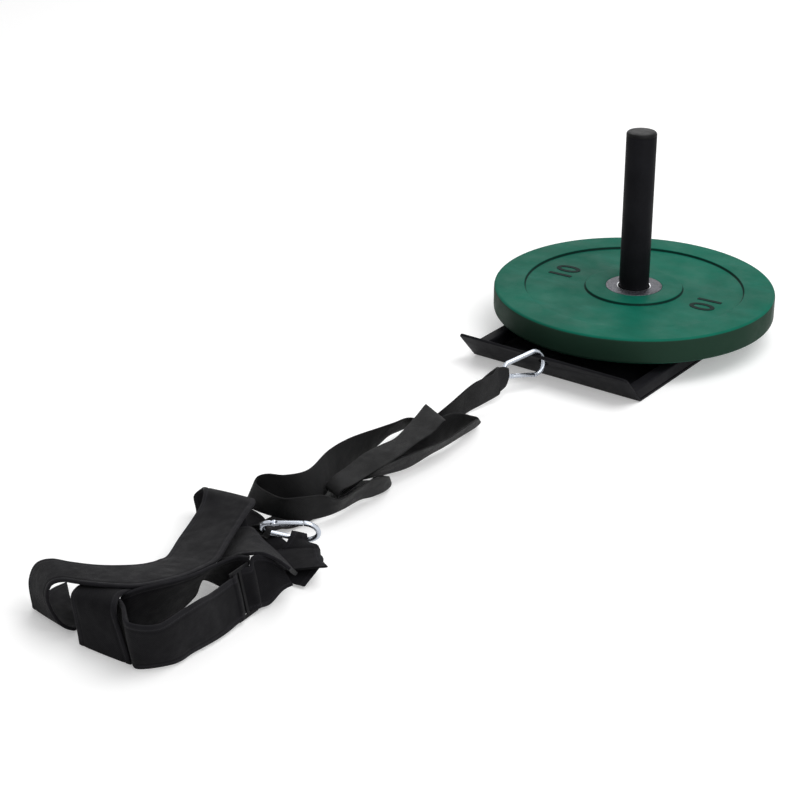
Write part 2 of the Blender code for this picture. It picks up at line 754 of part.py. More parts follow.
def make_hook(name, hook, parts, cutters, steel):
    """A snap hook: the bent rod, its sprung gate, the gate's pin and its spring."""
    side = hook.side
    body = wire(name + "_body", [(s, w, 0.0) for s, w in hook_line(hook)], ROD, parts, steel, 3)
    pivot_w = side * hook.half_width(GATE_PIVOT)
    start_w = side * hook.half_width(GATE_START)
    run = Vector((GATE_START - GATE_PIVOT, start_w - pivot_w, 0.0))
    gate_frame = Matrix.Translation((GATE_PIVOT, pivot_w, 0.0))
    gate_frame = gate_frame @ Matrix.Rotation(math.atan2(run.y, run.x), 4, "Z")
    cheeks = []
    for out in (-1, 1):
        low = min(out * TONGUE / 2, out * 0.01)
        high = max(out * TONGUE / 2, out * 0.01)
        cheek = box(f"{name}_cheek_cutter_{out + 1}", (-0.0042, -0.006, low), (0.01, 0.006, high), cutters)
        cheeks.append(cheek)
    eye = rod(name + "_eye_cutter", PIN_RADIUS + 0.0001, (0, 0, -0.01), (0, 0, 0.01), cutters, sides=16)
    cut(body, [*cheeks, eye])
    thick = ROD - 0.0002
    gate = rod(
        name + "_gate", thick, (0, 0, 0), (run.length - GATE_CLEAR / 2, 0, 0), parts, steel, sides=16
    )
    end = rod(name + "_gate_end", thick, (0, 0, -0.0028), (0, 0, 0.0028), cutters, sides=24)
    slot = box(
        name + "_slot_cutter",
        (-0.01, -0.006, -TONGUE / 2 - GAP),
        (0.0050, 0.006, TONGUE / 2 + GAP),
        cutters,
    )
    well = rod(name + "_well_cutter", 0.0019, (0.004, 0, 0), (0.022, 0, 0), cutters, sides=16)
    cut(gate, [end], "UNION")
    cut(gate, [slot, well, eye])
    smooth(gate)
    pin_half = ROD - 0.0004
    pin = rod(name + "_gate_pin", PIN_RADIUS, (0, 0, -pin_half), (0, 0, pin_half), parts, steel, 16)
    smooth(pin)
    turns = 6
    coil = []
    for step in range(turns * 8 + 1):
        angle = 2 * math.pi * step / 8
        along = 0.0060 + 0.0150 * step / (turns * 8)
        coil.append((along, 0.0013 * math.cos(angle), 0.0013 * math.sin(angle)))
    spring = wire(name + "_gate_spring", coil, 0.00035, parts, steel, 0)
    body.matrix_world = hook.matrix
    for piece in (gate, end, slot, well, eye, pin, spring, *cheeks):
        piece.matrix_world = hook.matrix @ gate_frame
    return body


def rounded(width, height, radius, centre=0.0, steps=4):
    """A rectangle with round corners, centred on the Y axis."""
    points = []
    for sx, sy, turn in ((1, 1, 0), (-1, 1, 90), (-1, -1, 180), (1, -1, 270)):
        middle = (centre + sx * (width / 2 - radius), sy * (height / 2 - radius))
        for step in range(steps + 1):
            angle = math.radians(turn + 90 * step / steps)
            points.append((middle[0] + radius * math.cos(angle), middle[1] + radius * math.sin(angle)))
    return points


def slider_frame():
    """The slider's own frame: X along the strap, Y across it and Z out of its outer face."""
    top, bottom = (Vector(edge) / 1000 for edge in SLIDER_STATION)
    across = (top - bottom).normalized()
    along = Vector((0.0, 1.0, 0.0))
    along = (along - along.dot(across) * across).normalized()
    out = along.cross(across)
    matrix = Matrix((along, across, out)).transposed().to_4x4()
    return Matrix.Translation((top + bottom) / 2) @ matrix, (top - bottom).length


def make_slider(parts, steel):
    """A flat three-bar slider, cut from plate, with two windows."""
    frame, width = slider_frame()
    data = bpy.data.curves.new("strap_slider", "CURVE")
    data.dimensions = "2D"
    data.fill_mode = "BOTH"
    data.extrude = SLIDER_THICK / 2
    inside = width + 0.0020
    length = 3 * SLIDER_BAR + 2 * SLIDER_WINDOW
    pitch = (SLIDER_BAR + SLIDER_WINDOW) / 2
    outlines = [
        rounded(length, inside + 2 * SLIDER_SIDE, 0.004),
        rounded(SLIDER_WINDOW, inside, 0.0015, -pitch),
        rounded(SLIDER_WINDOW, inside, 0.0015, pitch),
    ]
    for points in outlines:
        spline = data.splines.new("POLY")
        spline.points.add(len(points) - 1)
        spline.use_cyclic_u = True
        for point, co in zip(spline.points, points):
            point.co = (*co, 0.0, 1.0)
    slider = bpy.data.objects.new("strap_slider", data)
    parts.objects.link(slider)
    slider.matrix_world = frame
    data.materials.append(steel)


def woven():
    """Stations of the right shoulder strap through the slider."""
    frame, _ = slider_frame()
    along, out = frame.to_3x3() @ Vector((1, 0, 0)), frame.to_3x3() @ Vector((0, 0, 1))
    return [
        tuple(Vector(edge) + ahead * along + lift * out for edge in SLIDER_STATION)
        for ahead, lift in SLIDER_WEAVE
    ]


def make_webbing(parts, front, back, webbing, padded, plastic):
    widths = [36, 28, 16, 9, 7, 7, 9, 16, 28, 36]
    rod_at, rod_along = front.small_end(0.0)
    pull_eye = eye(rod_at, rod_along, FRONT_EYE_AWAY, widths, first=-1, above=0.3)
    widths = [26, 18, 14, 10, 8, 8, 10, 14, 18, 26]
    rod_at, rod_along = back.small_end(-60.0)
    end_eye = eye(rod_at, -rod_along, HARNESS_EYE_AWAY, widths)
    route = PULL_STRAP_START + pull_eye + PULL_STRAP_ROUTE + end_eye + PULL_STRAP_END
    band("pull_strap", route, STRAP_THICK, parts, webbing)
    arm_at, arm_along = back.arm(0.026, -1)
    panel_eye = eye(arm_at, arm_along, PANEL_EYE_AWAY, [44, 26, 22, 21, 20, 20, 21, 22, 26, 44])
    under = layer(BACK_PANEL_ROUTE, -PANEL_SPACING / 2)
    under[0] = BACK_PANEL_LINING_END
    route = layer(BACK_PANEL_ROUTE, PANEL_SPACING / 2) + panel_eye[1:-1] + under[::-1]
    band("back_panel", route, PANEL_THICK, parts, padded, columns=4)
    band("left_shoulder_strap", LEFT_STRAP_ROUTE, HARNESS_THICK, parts, padded)
    route = RIGHT_STRAP_ROUTE + woven() + RIGHT_STRAP_END
    band("right_shoulder_strap", route, HARNESS_THICK, parts, padded)
    make_slider(parts, plastic)
    band("inner_shoulder_strap", INNER_STRAP_ROUTE, HARNESS_THICK, parts, padded)
    band("front_strap", FRONT_STRAP_ROUTE, HARNESS_THICK, parts, padded)
    band("cross_strap", CROSS_STRAP_ROUTE, HARNESS_THICK, parts, padded)
    band("tail_strap", TAIL_STRAP_ROUTE, HARNESS_THICK, parts, padded)


def main():
    clear_scene()
    scene = bpy.context.scene.collection
    parts = collection("drag_sled", scene)
    cutters = collection("cutters", scene)
    paint = finish("black_powder_coat", (0.012, 0.012, 0.014), 0.45, 0.0)
    plastic = finish("black_plastic", (0.020, 0.020, 0.021), 0.50, 0.0)
    zinc = finish("zinc_plate", (0.62, 0.63, 0.65), 0.30, 1.0)
    steel = finish("hub_steel", (0.30, 0.31, 0.32), 0.38, 1.0)
    rubber = finish("green_rubber", (0.022, 0.125, 0.092), 0.60, 0.0)
    webbing = finish("black_webbing", (0.019, 0.019, 0.021), 0.80, 0.0)
    padded = finish("black_padded_web", (0.011, 0.011, 0.013), 0.85, 0.0)
    make_tray(parts, cutters, paint)
    make_rails(parts, cutters, paint, plastic)
    make_post(parts, cutters, paint, plastic, zinc)
    make_plate(parts, rubber, steel)
    front = Hook(FRONT_HOOK_AT, FRONT_HOOK_ALONG, FRONT_HOOK_ACROSS, gate_side=-1)
    back = Hook(HARNESS_HOOK_AT, HARNESS_HOOK_ALONG, HARNESS_HOOK_ACROSS, gate_side=1)
    make_hook("front_hook", front, parts, cutters, zinc)
    make_hook("harness_hook", back, parts, cutters, zinc)
    make_webbing(parts, front, back, webbing, padded, plastic)
    for obj in cutters.objects:
        obj.hide_render = True
        obj.display_type = "WIRE"


main()
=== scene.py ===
"""The drag sled's looks: its finishes, its webbing and its smooth forms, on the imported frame."""

import math

import bmesh
import bpy
import numpy as np
from mathutils import Matrix, Vector


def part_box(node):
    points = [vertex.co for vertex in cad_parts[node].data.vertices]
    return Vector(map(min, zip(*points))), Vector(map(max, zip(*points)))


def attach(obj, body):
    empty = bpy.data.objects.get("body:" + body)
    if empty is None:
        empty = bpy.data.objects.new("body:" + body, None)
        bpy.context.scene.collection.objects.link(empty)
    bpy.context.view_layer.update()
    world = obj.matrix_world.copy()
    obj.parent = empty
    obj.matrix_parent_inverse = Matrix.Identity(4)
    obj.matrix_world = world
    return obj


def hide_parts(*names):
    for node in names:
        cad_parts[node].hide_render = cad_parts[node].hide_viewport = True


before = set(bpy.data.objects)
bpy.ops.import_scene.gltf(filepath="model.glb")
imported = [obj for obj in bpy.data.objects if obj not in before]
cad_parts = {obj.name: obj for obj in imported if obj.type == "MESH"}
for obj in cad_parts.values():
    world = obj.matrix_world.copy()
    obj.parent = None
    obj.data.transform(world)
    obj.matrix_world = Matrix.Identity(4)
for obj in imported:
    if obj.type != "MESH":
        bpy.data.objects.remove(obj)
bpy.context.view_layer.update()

bl_info = {
    "name": "Drag Sled with Harness",
    "version": (1, 0, 0),
    "blender": (4, 5, 0),
    "location": "3D View > Sidebar > Drag Sled",
    "description": "Builds the finished drag sled, its bumper plate, pull strap, hooks and harness",
    "category": "Object",
}

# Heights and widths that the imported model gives
PLATE_LOW, PLATE_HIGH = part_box("plate_rubber")
RIM = PLATE_HIGH.x
POST_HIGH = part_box("post_cap")[1].z
COLLAR_LOW, COLLAR_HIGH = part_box("post_stop_collar")

# The room between two pieces that would otherwise touch, and how near a picked point lies
GAP = 0.0003
NEAR = 0.001

# Tray
TRAY_HALF = 0.150
TRAY_FRONT = -0.232
TRAY_REAR = 0.195
SHEET = 0.004
LIP_RUN = 0.046
LIP_RISE = 0.050
LIP_CORNER = 0.006
BEND_RADIUS = 0.010
RAIL = 0.020
RAIL_WALL = 0.002
RAIL_CORNER = 0.003
RAIL_BASE = 0.0043
RAIL_OFF_BEND = 0.0011
PLUG_DEPTH = 0.012
PLUG_DOME = 0.0015
HOOK_HOLE = 0.0085
HOOK_HOLE_FROM_EDGE = 0.0150

# Post and plate
POST_RADIUS = 0.024
POST_WALL = 0.0025
CAP_THICK = 0.006
CAP_PLUG = 0.014
RING_OUTER = 0.176
RING_INNER = 0.079
RING_DEPTH = 0.004
RING_SLOPE = 0.0015
RIM_ROUND = 0.0040
RIM_CORNER = 0.0012
HUB_FLANGE = 0.045
HUB_FLANGE_THICK = 0.003
HUB_WEB = 0.033
HUB_BORE = 0.0253
HUB_LIP = 0.0008
NUMBER_TURNS = (3.0, 183.0)
# A digit's height as a share of the font's size
DIGIT_SHARE = 0.70

# Hooks
ROD = 0.0035
HOOK_LENGTH = 0.073
HOOK_BIG = 0.018
HOOK_SMALL = 0.0105
GATE_START = 0.020
GATE_PIVOT = 0.058
GATE_CLEAR = 0.0006
GATE_BARREL = 0.0056
GATE_SLOT = 0.0050
PIN_RADIUS = 0.0013
TONGUE = 0.0026
TONGUE_LENGTH = 0.0042
# How far the blocks that cut the rod reach past it
CUT_REACH = 0.01
CUT_HALF = 0.006

# Stage: each lamp's place, its size and the setting that gives its power
LAMPS = (
    ((1.3, -0.2, 2.9), 2.2, "key"),
    ((2.8, -1.6, 1.6), 1.8, "fill"),
    ((-1.6, 1.8, 2.2), 2.0, "fill"),
)
LAMP_AIM = (0.0, -0.4, 0.0)
FLOOR_SIZE = 30.0
FLOOR_DROP = 0.0004
CAMERA_AT = (1.470, -2.6405, 1.2703)
CAMERA_DEGREES = (65.05, 0.0, 36.264)
CAMERA_LENS = 90.0
CAMERA_SENSOR = 36.0
CAMERA_REACH = 60.0

# Webbing: each station is the two edges of the band, in millimetres
PULL_STRAP_START = [
    ((-29, -398, 47), (-30, -374, 14)),
    ((-28, -379, 52), (-29, -363, 10)),
]
PULL_STRAP_END = [
    ((-12, -884, 12), (-40, -897, 13)),
]
PULL_STRAP_ROUTE = [
    ((-22, -377, 52), (-21, -359, 12)),
    ((-27, -419, 51), (-27, -391, 8)),
    ((-36, -470, 33), (-33, -430, 4)),
    ((-50, -505, 15), (-18, -480, 4)),
    ((-58, -560, 3), (-12, -545, 3)),
    ((-60, -610, 3), (-12, -600, 3)),
    ((-58, -632, 5), (-12, -620, 5)),
    ((-57, -645, 12), (-12, -633, 12)),
    ((-51, -636, 21), (-9, -622, 19)),
    ((-34, -612, 30), (-2, -592, 14)),
    ((-14, -572, 40), (-4, -563, 4)),
    ((-7, -549, 42), (-5, -543, 4)),
    ((-1, -529, 49), (-5, -522, 4)),
    ((7, -507, 47), (-3, -493, 5)),
    ((16, -488, 38), (-1, -464, 7)),
    ((22, -477, 31), (5, -446, 9)),
    ((26, -500, 34), (10, -462, 9)),
    ((29, -532, 35), (9, -497, 8)),
    ((32, -569, 37), (9, -540, 8)),
    ((30, -606, 40), (7, -576, 8)),
    ((23, -650, 42), (5, -624, 7)),
    ((12, -692, 39), (-7, -662, 8)),
    ((5, -722, 32), (-19, -700, 12)),
    ((1, -755, 24), (-29, -738, 15)),
    ((0, -771, 22), (-32, -757, 17)),
    ((2, -779, 26), (-30, -765, 27)),
    ((5, -773, 34), (-26, -752, 37)),
    ((10, -757, 36), (-24, -725, 41)),
    ((13, -726, 39), (-23, -692, 46)),
    ((20, -690, 45), (-20, -658, 47)),
    ((22, -662, 48), (-15, -629, 48)),
    ((22, -626, 51), (-18, -596, 53)),
    ((24, -591, 54), (-21, -571, 58)),
    ((20, -563, 58), (-26, -543, 63)),
    ((17, -552, 55), (-30, -535, 59)),
    ((8, -554, 51), (-34, -536, 44)),
    ((-20, -553, 46), (-56, -532, 21)),
    ((-44, -557, 44), (-70, -537, 10)),
    ((-48, -585, 46), (-71, -568, 12)),
    ((-51, -613, 49), (-69, -600, 8)),
    ((-55, -677, 57), (-58, -671, 10)),
    ((-54, -728, 58), (-46, -725, 12)),
    ((-44, -784, 55), (-30, -777, 12)),
    ((-56, -818, 57), (-50, -806, 12)),
    ((-74, -832, 59), (-84, -829, 11)),
    ((-85, -840, 55), (-106, -836, 9)),
    ((-81, -850, 50), (-102, -847, 9)),
    ((-55, -857, 48), (-74, -851, 9)),
    ((-26, -860, 49), (-38, -847, 9)),
    ((-6, -846, 51), (-14, -833, 8)),
    ((10, -823, 49), (2, -808, 8)),
    ((25, -806, 40), (8, -779, 8)),
    ((29, -777, 42), (10, -743, 8)),
    ((32, -748, 46), (16, -722, 6)),
    ((35, -726, 43), (20, -700, 6)),
    ((33, -708, 35), (18, -683, 7)),
    ((26, -702, 31), (7, -672, 6)),
    ((15, -713, 32), (-8, -680, 5)),
    ((6, -738, 18), (-29, -693, 3)),
    ((-3, -766, 10), (-49, -736, 3)),
    ((-8, -796, 5), (-57, -782, 3)),
    ((-13, -838, 4), (-58, -848, 6)),
    ((-16, -862, 8), (-54, -876, 11)),
    ((-13, -881, 17), (-42, -893, 19)),
]
LEFT_STRAP_ROUTE = [
    ((-108, -958, 8), (-34, -946, 8)),
    ((-130, -916, 14), (-52, -904, 14)),
    ((-152, -895, 27), (-72, -884, 29)),
    ((-138, -894, 43), (-56, -884, 46)),
    ((-119, -911, 52), (-40, -901, 53)),
    ((-104, -934, 46), (-28, -931, 54)),
    ((-90, -970, 41), (-13, -966, 54)),
    ((-72, -1013, 41), (5, -1004, 56)),
    ((-50, -1058, 44), (27, -1050, 60)),
    ((-45, -1079, 49), (31, -1082, 64)),
    ((-44, -1092, 52), (32, -1108, 68)),
    ((-46, -1114, 58), (32, -1140, 75)),
    ((-57, -1140, 65), (16, -1178, 79)),
    ((-77, -1157, 67), (-12, -1202, 82)),
    ((-107, -1168, 66), (-43, -1213, 80)),
    ((-136, -1173, 63), (-72, -1217, 75)),
    ((-155, -1180, 53), (-88, -1222, 64)),
    ((-158, -1190, 33), (-90, -1224, 42)),
    ((-146, -1199, 11), (-80, -1216, 13)),
    ((-148, -1194, 4), (-67, -1204, 4)),
    ((-160, -1156, 3), (-92, -1180, 3)),
    ((-157, -1130, 3), (-124, -1157, 3)),
]
RIGHT_STRAP_ROUTE = [
    ((-8, -1202, 76), (4, -1200, 4)),
    ((5, -1206, 77), (15, -1203, 2)),
    ((24, -1214, 76), (34, -1211, 2)),
    ((54, -1238, 74), (51, -1222, 2)),
    ((84, -1222, 73), (78, -1190, 3)),
    ((89, -1186, 76), (81, -1160, 4)),
    ((88, -1150, 75), (84, -1126, 4)),
    ((80, -1122, 67), (84, -1103, 4)),
]
# The right shoulder strap where the slider sits on it
SLIDER_STATION = ((69, -1060, 64), (79, -1057, 6.5))
RIGHT_STRAP_END = [
    ((71, -1037, 74), (81, -1035, 5)),
    ((79, -1027, 75), (84, -1021, 5)),
    ((85, -1015, 65), (89, -1003, 17)),
    ((89, -1003, 49), (96, -991, 22)),
]
FRONT_STRAP_ROUTE = [
    ((-45, -1221, 1), (37, -1218, 1)),
    ((-45, -1223, 20), (33, -1221, 26)),
    ((-47, -1224, 39), (28, -1223, 48)),
    ((-49, -1225, 58), (22, -1223, 65)),
    ((-51, -1222, 67), (19, -1219, 74)),
    ((-53, -1212, 70), (13, -1208, 78)),
    ((-54, -1199, 69), (11, -1196, 78)),
    ((-55, -1180, 64), (12, -1178, 73.5)),
    ((-54, -1158, 60), (14, -1157, 70)),
    ((-50, -1135, 56), (18, -1135, 66)),
    ((-46, -1112, 50), (20, -1112, 60)),
]
INNER_STRAP_ROUTE = [
    ((70, -1041, 76), (52, -1031, 8)),
    ((52, -1046, 72), (23, -1028, 6)),
    ((43, -1076, 69.5), (-22, -1026, 6)),
    ((43, -1109, 74), (-4, -1062, 5)),
    ((41, -1141, 80), (5, -1104, 4)),
    ((33, -1164, 82.5), (7, -1138, 4)),
    ((22, -1183, 82), (3, -1166, 4)),
    ((15, -1193, 79), (-2, -1182, 4)),
    ((4, -1196, 71), (-10, -1188, 4)),
]
CROSS_STRAP_ROUTE = [
    ((-44, -1012, 24), (-80, -942, 18)),
    ((-14, -1019, 31), (-52, -936, 28)),
    ((11, -1018, 39), (-22, -935, 40)),
    ((37, -1025, 58), (2, -950, 50)),
    ((60, -1036, 73), (29, -967, 52)),
    ((79, -1028, 77), (46, -964, 40)),
    ((97, -1023, 73), (66, -965, 29)),
    ((112, -1024, 70), (80, -970, 25)),
    ((118, -1022, 66), (85, -970, 23)),
]
# A short band that lies flat under the hook and the other bands' ends
TAIL_STRAP_ROUTE = [
    ((-101, -842, 2.8), (-90, -887, 2.8)),
    ((-69, -851, 2.8), (-59, -893, 2.8)),
    ((-44, -868, 3), (-34, -903, 3)),
    ((-6, -884, 3), (-2, -917, 3)),
    ((34, -900, 3), (24, -922, 3)),
]
# Midway between the panel's upper layer and the lining under it
BACK_PANEL_ROUTE = [
    ((40, -966, 7), (116, -945, 31)),
    ((20, -948, 8), (94, -930, 27)),
    ((4, -931, 8), (76, -911, 24)),
    ((12, -924, 12), (70, -904, 22)),
    ((22, -919, 16), (62, -898, 23)),
]
BACK_PANEL_LINING_END = ((26, -970, 3), (91, -962, 4))
# The slider on the right shoulder strap, with three bars and two windows
SLIDER_BAR = 0.0045
SLIDER_WINDOW = 0.0110
SLIDER_THICK = 0.0025
# From the strap's edge to the slider's own edge, and to the window's end
SLIDER_SIDE = 0.0040
SLIDER_WINDOW_END = 0.0006
# The strap runs over the outer bars and behind the middle one: how far along and how far out, in
# millimetres
SLIDER_WEAVE = [
    (-23, 4),
    (-15.5, 5.2),
    (-8.5, 0),
    (-2, -4.1),
    (2, -4.1),
    (8.5, 0),
    (15.5, 5.2),
]
# Between the middles of the back panel's two layers, in millimetres
PANEL_SPACING = 4.8
# A folded eye, from above its rod: how far along and to which side of the rod the band runs
HALF_EYE = [(24, 2.2), (10, 5.2), (2, 6.4), (-3, 6.2), (-6.3, 3.2)]
EYE = HALF_EYE + [(along, -aside) for along, aside in HALF_EYE[::-1]]


class PlateSettings(bpy.types.PropertyGroup):
    rubber: bpy.props.FloatVectorProperty(
        name="Rubber",
        description="Colour of the bumper plate's rubber",
        subtype="COLOR",
        default=(0.0036, 0.096, 0.062),
        min=0.0,
        max=1.0,
    )
    number: bpy.props.StringProperty(
        name="Weight number",
        description="Plain number moulded into the plate's ring",
        default="10",
    )
    number_size: bpy.props.FloatProperty(
        name="Number height",
        description="Height of the moulded number",
        default=0.040,
        unit="LENGTH",
    )
    number_radius: bpy.props.FloatProperty(
        name="Number radius",
        description="How far from the plate's axis the numbers stand",
        default=0.125,
        unit="LENGTH",
    )


class SteelSettings(bpy.types.PropertyGroup):
    paint: bpy.props.FloatVectorProperty(
        name="Powder coat",
        description="Colour of the sled's powder coat",
        subtype="COLOR",
        default=(0.0062, 0.0062, 0.0074),
        min=0.0,
        max=1.0,
    )
    grain: bpy.props.FloatProperty(
        name="Paint grain",
        description="Size of the powder coat's fine grain",
        default=0.0012,
        unit="LENGTH",
    )
    zinc: bpy.props.FloatVectorProperty(
        name="Zinc",
        description="Colour of the hooks' zinc plating",
        subtype="COLOR",
        default=(0.43, 0.46, 0.51),
        min=0.0,
        max=1.0,
    )


class WebbingSettings(bpy.types.PropertyGroup):
    strap: bpy.props.FloatVectorProperty(
        name="Strap",
        description="Colour of the pull strap's webbing",
        subtype="COLOR",
        default=(0.0165, 0.0165, 0.0172),
        min=0.0,
        max=1.0,
    )
    strap_thick: bpy.props.FloatProperty(
        name="Strap thickness",
        description="Thickness of the pull strap",
        default=0.0022,
        unit="LENGTH",
    )
    harness: bpy.props.FloatVectorProperty(
        name="Harness",
        description="Colour of the harness's padded bands",
        subtype="COLOR",
        default=(0.0085, 0.0083, 0.0098),
        min=0.0,
        max=1.0,
    )
    harness_thick: bpy.props.FloatProperty(
        name="Harness thickness",
        description="Thickness of a padded band between its bound edges",
        default=0.0050,
        unit="LENGTH",
    )
    panel_thick: bpy.props.FloatProperty(
        name="Panel thickness",
        description="Thickness of each layer of the back panel",
        default=0.0032,
        unit="LENGTH",
    )
    binding: bpy.props.FloatProperty(
        name="Binding",
        description="Width of the tape that binds the edges",
        default=0.0080,
        unit="LENGTH",
    )


class StageSettings(bpy.types.PropertyGroup):
    floor: bpy.props.FloatVectorProperty(
        name="Floor",
        description="Colour of the plain floor",
        subtype="COLOR",
        default=(0.80, 0.80, 0.80),
    )
    key: bpy.props.FloatProperty(
        name="Key light", description="Power of the main soft lamp", default=62.0, unit="POWER"
    )
    fill: bpy.props.FloatProperty(
        name="Fill light", description="Power of the filling lamps", default=26.0, unit="POWER"
    )
    sky: bpy.props.FloatProperty(
        name="Sky", description="Strength of the even light all round", default=0.42
    )


class SledSettings(bpy.types.PropertyGroup):
    plate: bpy.props.PointerProperty(type=PlateSettings)
    steel: bpy.props.PointerProperty(type=SteelSettings)
    webbing: bpy.props.PointerProperty(type=WebbingSettings)
    stage: bpy.props.PointerProperty(type=StageSettings)


def settings():
    return bpy.context.scene.drag_sled_finish


class Finish:
    """A material's node tree, with short ways to add and join nodes."""

    def __init__(self, name, roughness, metallic=0.0, **sockets):
        self.material = bpy.data.materials.new(name)
        self.material.use_nodes = True
        self.tree = self.material.node_tree
        self.shader = self.tree.nodes["Principled BSDF"]
        self.shader.inputs["Roughness"].default_value = roughness
        self.shader.inputs["Metallic"].default_value = metallic
        for socket, value in sockets.items():
            self.shader.inputs[socket.replace("_", " ")].default_value = value
        self.bump = None

    def node(self, kind, inputs=(), **values):
        made = self.tree.nodes.new(kind)
        for name, value in values.items():
            setattr(made, name, value)
        for socket, value in dict(inputs).items():
            self.feed(made.inputs[socket], value)
        return made

    def feed(self, socket, value):
        if isinstance(value, bpy.types.NodeSocket):
            self.tree.links.new(value, socket)
        else:
            socket.default_value = value

    def math(self, operation, a, b=0.0, c=0.0):
        return self.node("ShaderNodeMath", {0: a, 1: b, 2: c}, operation=operation).outputs[0]

    def times(self, a, b):
        return self.math("MULTIPLY", a, b)

    def place(self):
        return self.node("ShaderNodeTexCoord").outputs["Object"]

    def radius(self):
        """The distance from the post's axis."""
        across = {0: self.place(), 1: (1.0, 1.0, 0.0)}
        flat = self.node("ShaderNodeVectorMath", across, operation="MULTIPLY").outputs[0]
        return self.node("ShaderNodeVectorMath", {0: flat}, operation="LENGTH").outputs["Value"]

    def uv(self):
        """The band's own length and width, in metres, as two sockets."""
        band = self.node("ShaderNodeTexCoord").outputs["UV"]
        split = self.node("ShaderNodeSeparateXYZ", {0: band})
        return split.outputs[0], split.outputs[1]

    def noise(self, scale, detail=2.0, rough=0.5, stretch=None):
        """Cloudy noise that is fixed to the piece, at this many waves per metre."""
        where = self.place()
        if stretch:
            where = self.node("ShaderNodeMapping", {"Vector": where, "Scale": stretch}).outputs[0]
        inputs = {"Vector": where, "Scale": scale, "Detail": detail, "Roughness": rough}
        return self.node("ShaderNodeTexNoise", inputs).outputs["Fac"]

    def ramp(self, value, low, high, to_low=0.0, to_high=1.0):
        """The value taken from the range low to high to the other range, and held inside it."""
        inputs = {"Value": value, "From Min": low, "From Max": high}
        inputs.update({"To Min": to_low, "To Max": to_high})
        return self.node("ShaderNodeMapRange", inputs).outputs[0]

    def mix(self, share, a, b):
        made = self.node("ShaderNodeMix", data_type="RGBA")
        self.feed(made.inputs["Factor"], share)
        for socket, value in ((made.inputs["A"], a), (made.inputs["B"], b)):
            self.feed(socket, value if isinstance(value, bpy.types.NodeSocket) else (*value, 1.0))
        return made.outputs["Result"]

    def colour(self, value):
        self.feed(self.shader.inputs["Base Color"], value)

    def roughness(self, value):
        self.feed(self.shader.inputs["Roughness"], value)

    def relief(self, height, depth, strength=1.0):
        """Adds a bump of that depth in metres over those already there."""
        inputs = {"Height": height, "Distance": depth, "Strength": strength}
        if self.bump:
            inputs["Normal"] = self.bump
        self.bump = self.node("ShaderNodeBump", inputs).outputs[0]
        self.tree.links.new(self.bump, self.shader.inputs["Normal"])


def scaled(colour, factor):
    return tuple(min(1.0, channel * factor) for channel in colour)


def powder_coat():
    """Matt black powder coat: fine orange peel, dusty patches and rubbed lighter spots."""
    steel = settings().steel
    look = Finish("black_powder_coat_finish", 0.46, Specular_IOR_Level=0.035)
    grain = look.noise(1.0 / steel.grain)
    dust = look.noise(16.0, detail=4.0, rough=0.6)
    colour = look.mix(look.ramp(dust, 0.35, 0.75), tuple(steel.paint), scaled(steel.paint, 1.75))
    specks = look.ramp(look.noise(420.0, detail=1.0), 0.70, 0.80)
    look.colour(look.mix(look.times(specks, 0.35), colour, scaled(steel.paint, 4.0)))
    look.roughness(look.ramp(look.noise(34.0, detail=3.0), 0.3, 0.7, to_low=0.38, to_high=0.54))
    look.relief(grain, depth=0.00025, strength=0.5)
    look.relief(look.noise(60.0, detail=2.0), depth=0.0006, strength=0.18)
    return look.material


def moulded_plastic():
    """Satin black moulded plastic with a spark-eroded grain."""
    look = Finish("black_plastic_finish", 0.42, Specular_IOR_Level=0.06)
    shade = look.ramp(look.noise(40.0, detail=3.0), 0.3, 0.7)
    look.colour(look.mix(shade, (0.007, 0.007, 0.0075), (0.012, 0.012, 0.013)))
    look.roughness(look.ramp(look.noise(90.0, detail=2.0), 0.3, 0.7, to_low=0.36, to_high=0.50))
    look.relief(look.noise(1400.0, detail=1.0), depth=0.00012, strength=0.5)
    return look.material


def zinc():
    """Bright zinc plating: cloudy passivation and a fine drawn grain."""
    steel = settings().steel
    look = Finish("zinc_plate_finish", 0.24, 1.0)
    cloud = look.ramp(look.noise(90.0, detail=4.0, rough=0.6), 0.3, 0.7)
    look.colour(look.mix(cloud, tuple(steel.zinc), scaled(steel.zinc, 1.22)))
    look.roughness(look.ramp(look.noise(260.0, detail=3.0), 0.25, 0.75, to_low=0.17, to_high=0.34))
    look.relief(look.noise(900.0, detail=2.0), depth=0.00008, strength=0.35)
    return look.material


def hub_steel():
    """The plate's steel insert: dark speckled flange and a bright machined bore lip."""
    dark, pale, machined = (0.020, 0.021, 0.025), (0.135, 0.135, 0.155), (0.72, 0.73, 0.75)
    look = Finish("hub_steel_finish", 0.40, 0.9)
    radius = look.radius()
    speckle = look.ramp(look.noise(520.0, detail=3.0, rough=0.7), 0.42, 0.62)
    colour = look.mix(speckle, dark, pale)
    bright = look.ramp(radius, HUB_BORE + 0.0019, HUB_BORE + 0.0013)
    look.colour(look.mix(bright, colour, machined))
    turning_marks = 9000.0
    rings = look.math("SINE", look.times(radius, turning_marks))
    look.roughness(look.mix(bright, (0.48, 0.48, 0.48), (0.22, 0.22, 0.22)))
    look.relief(rings, depth=0.00003, strength=0.4)
    look.relief(speckle, depth=0.00010, strength=0.4)
    return look.material


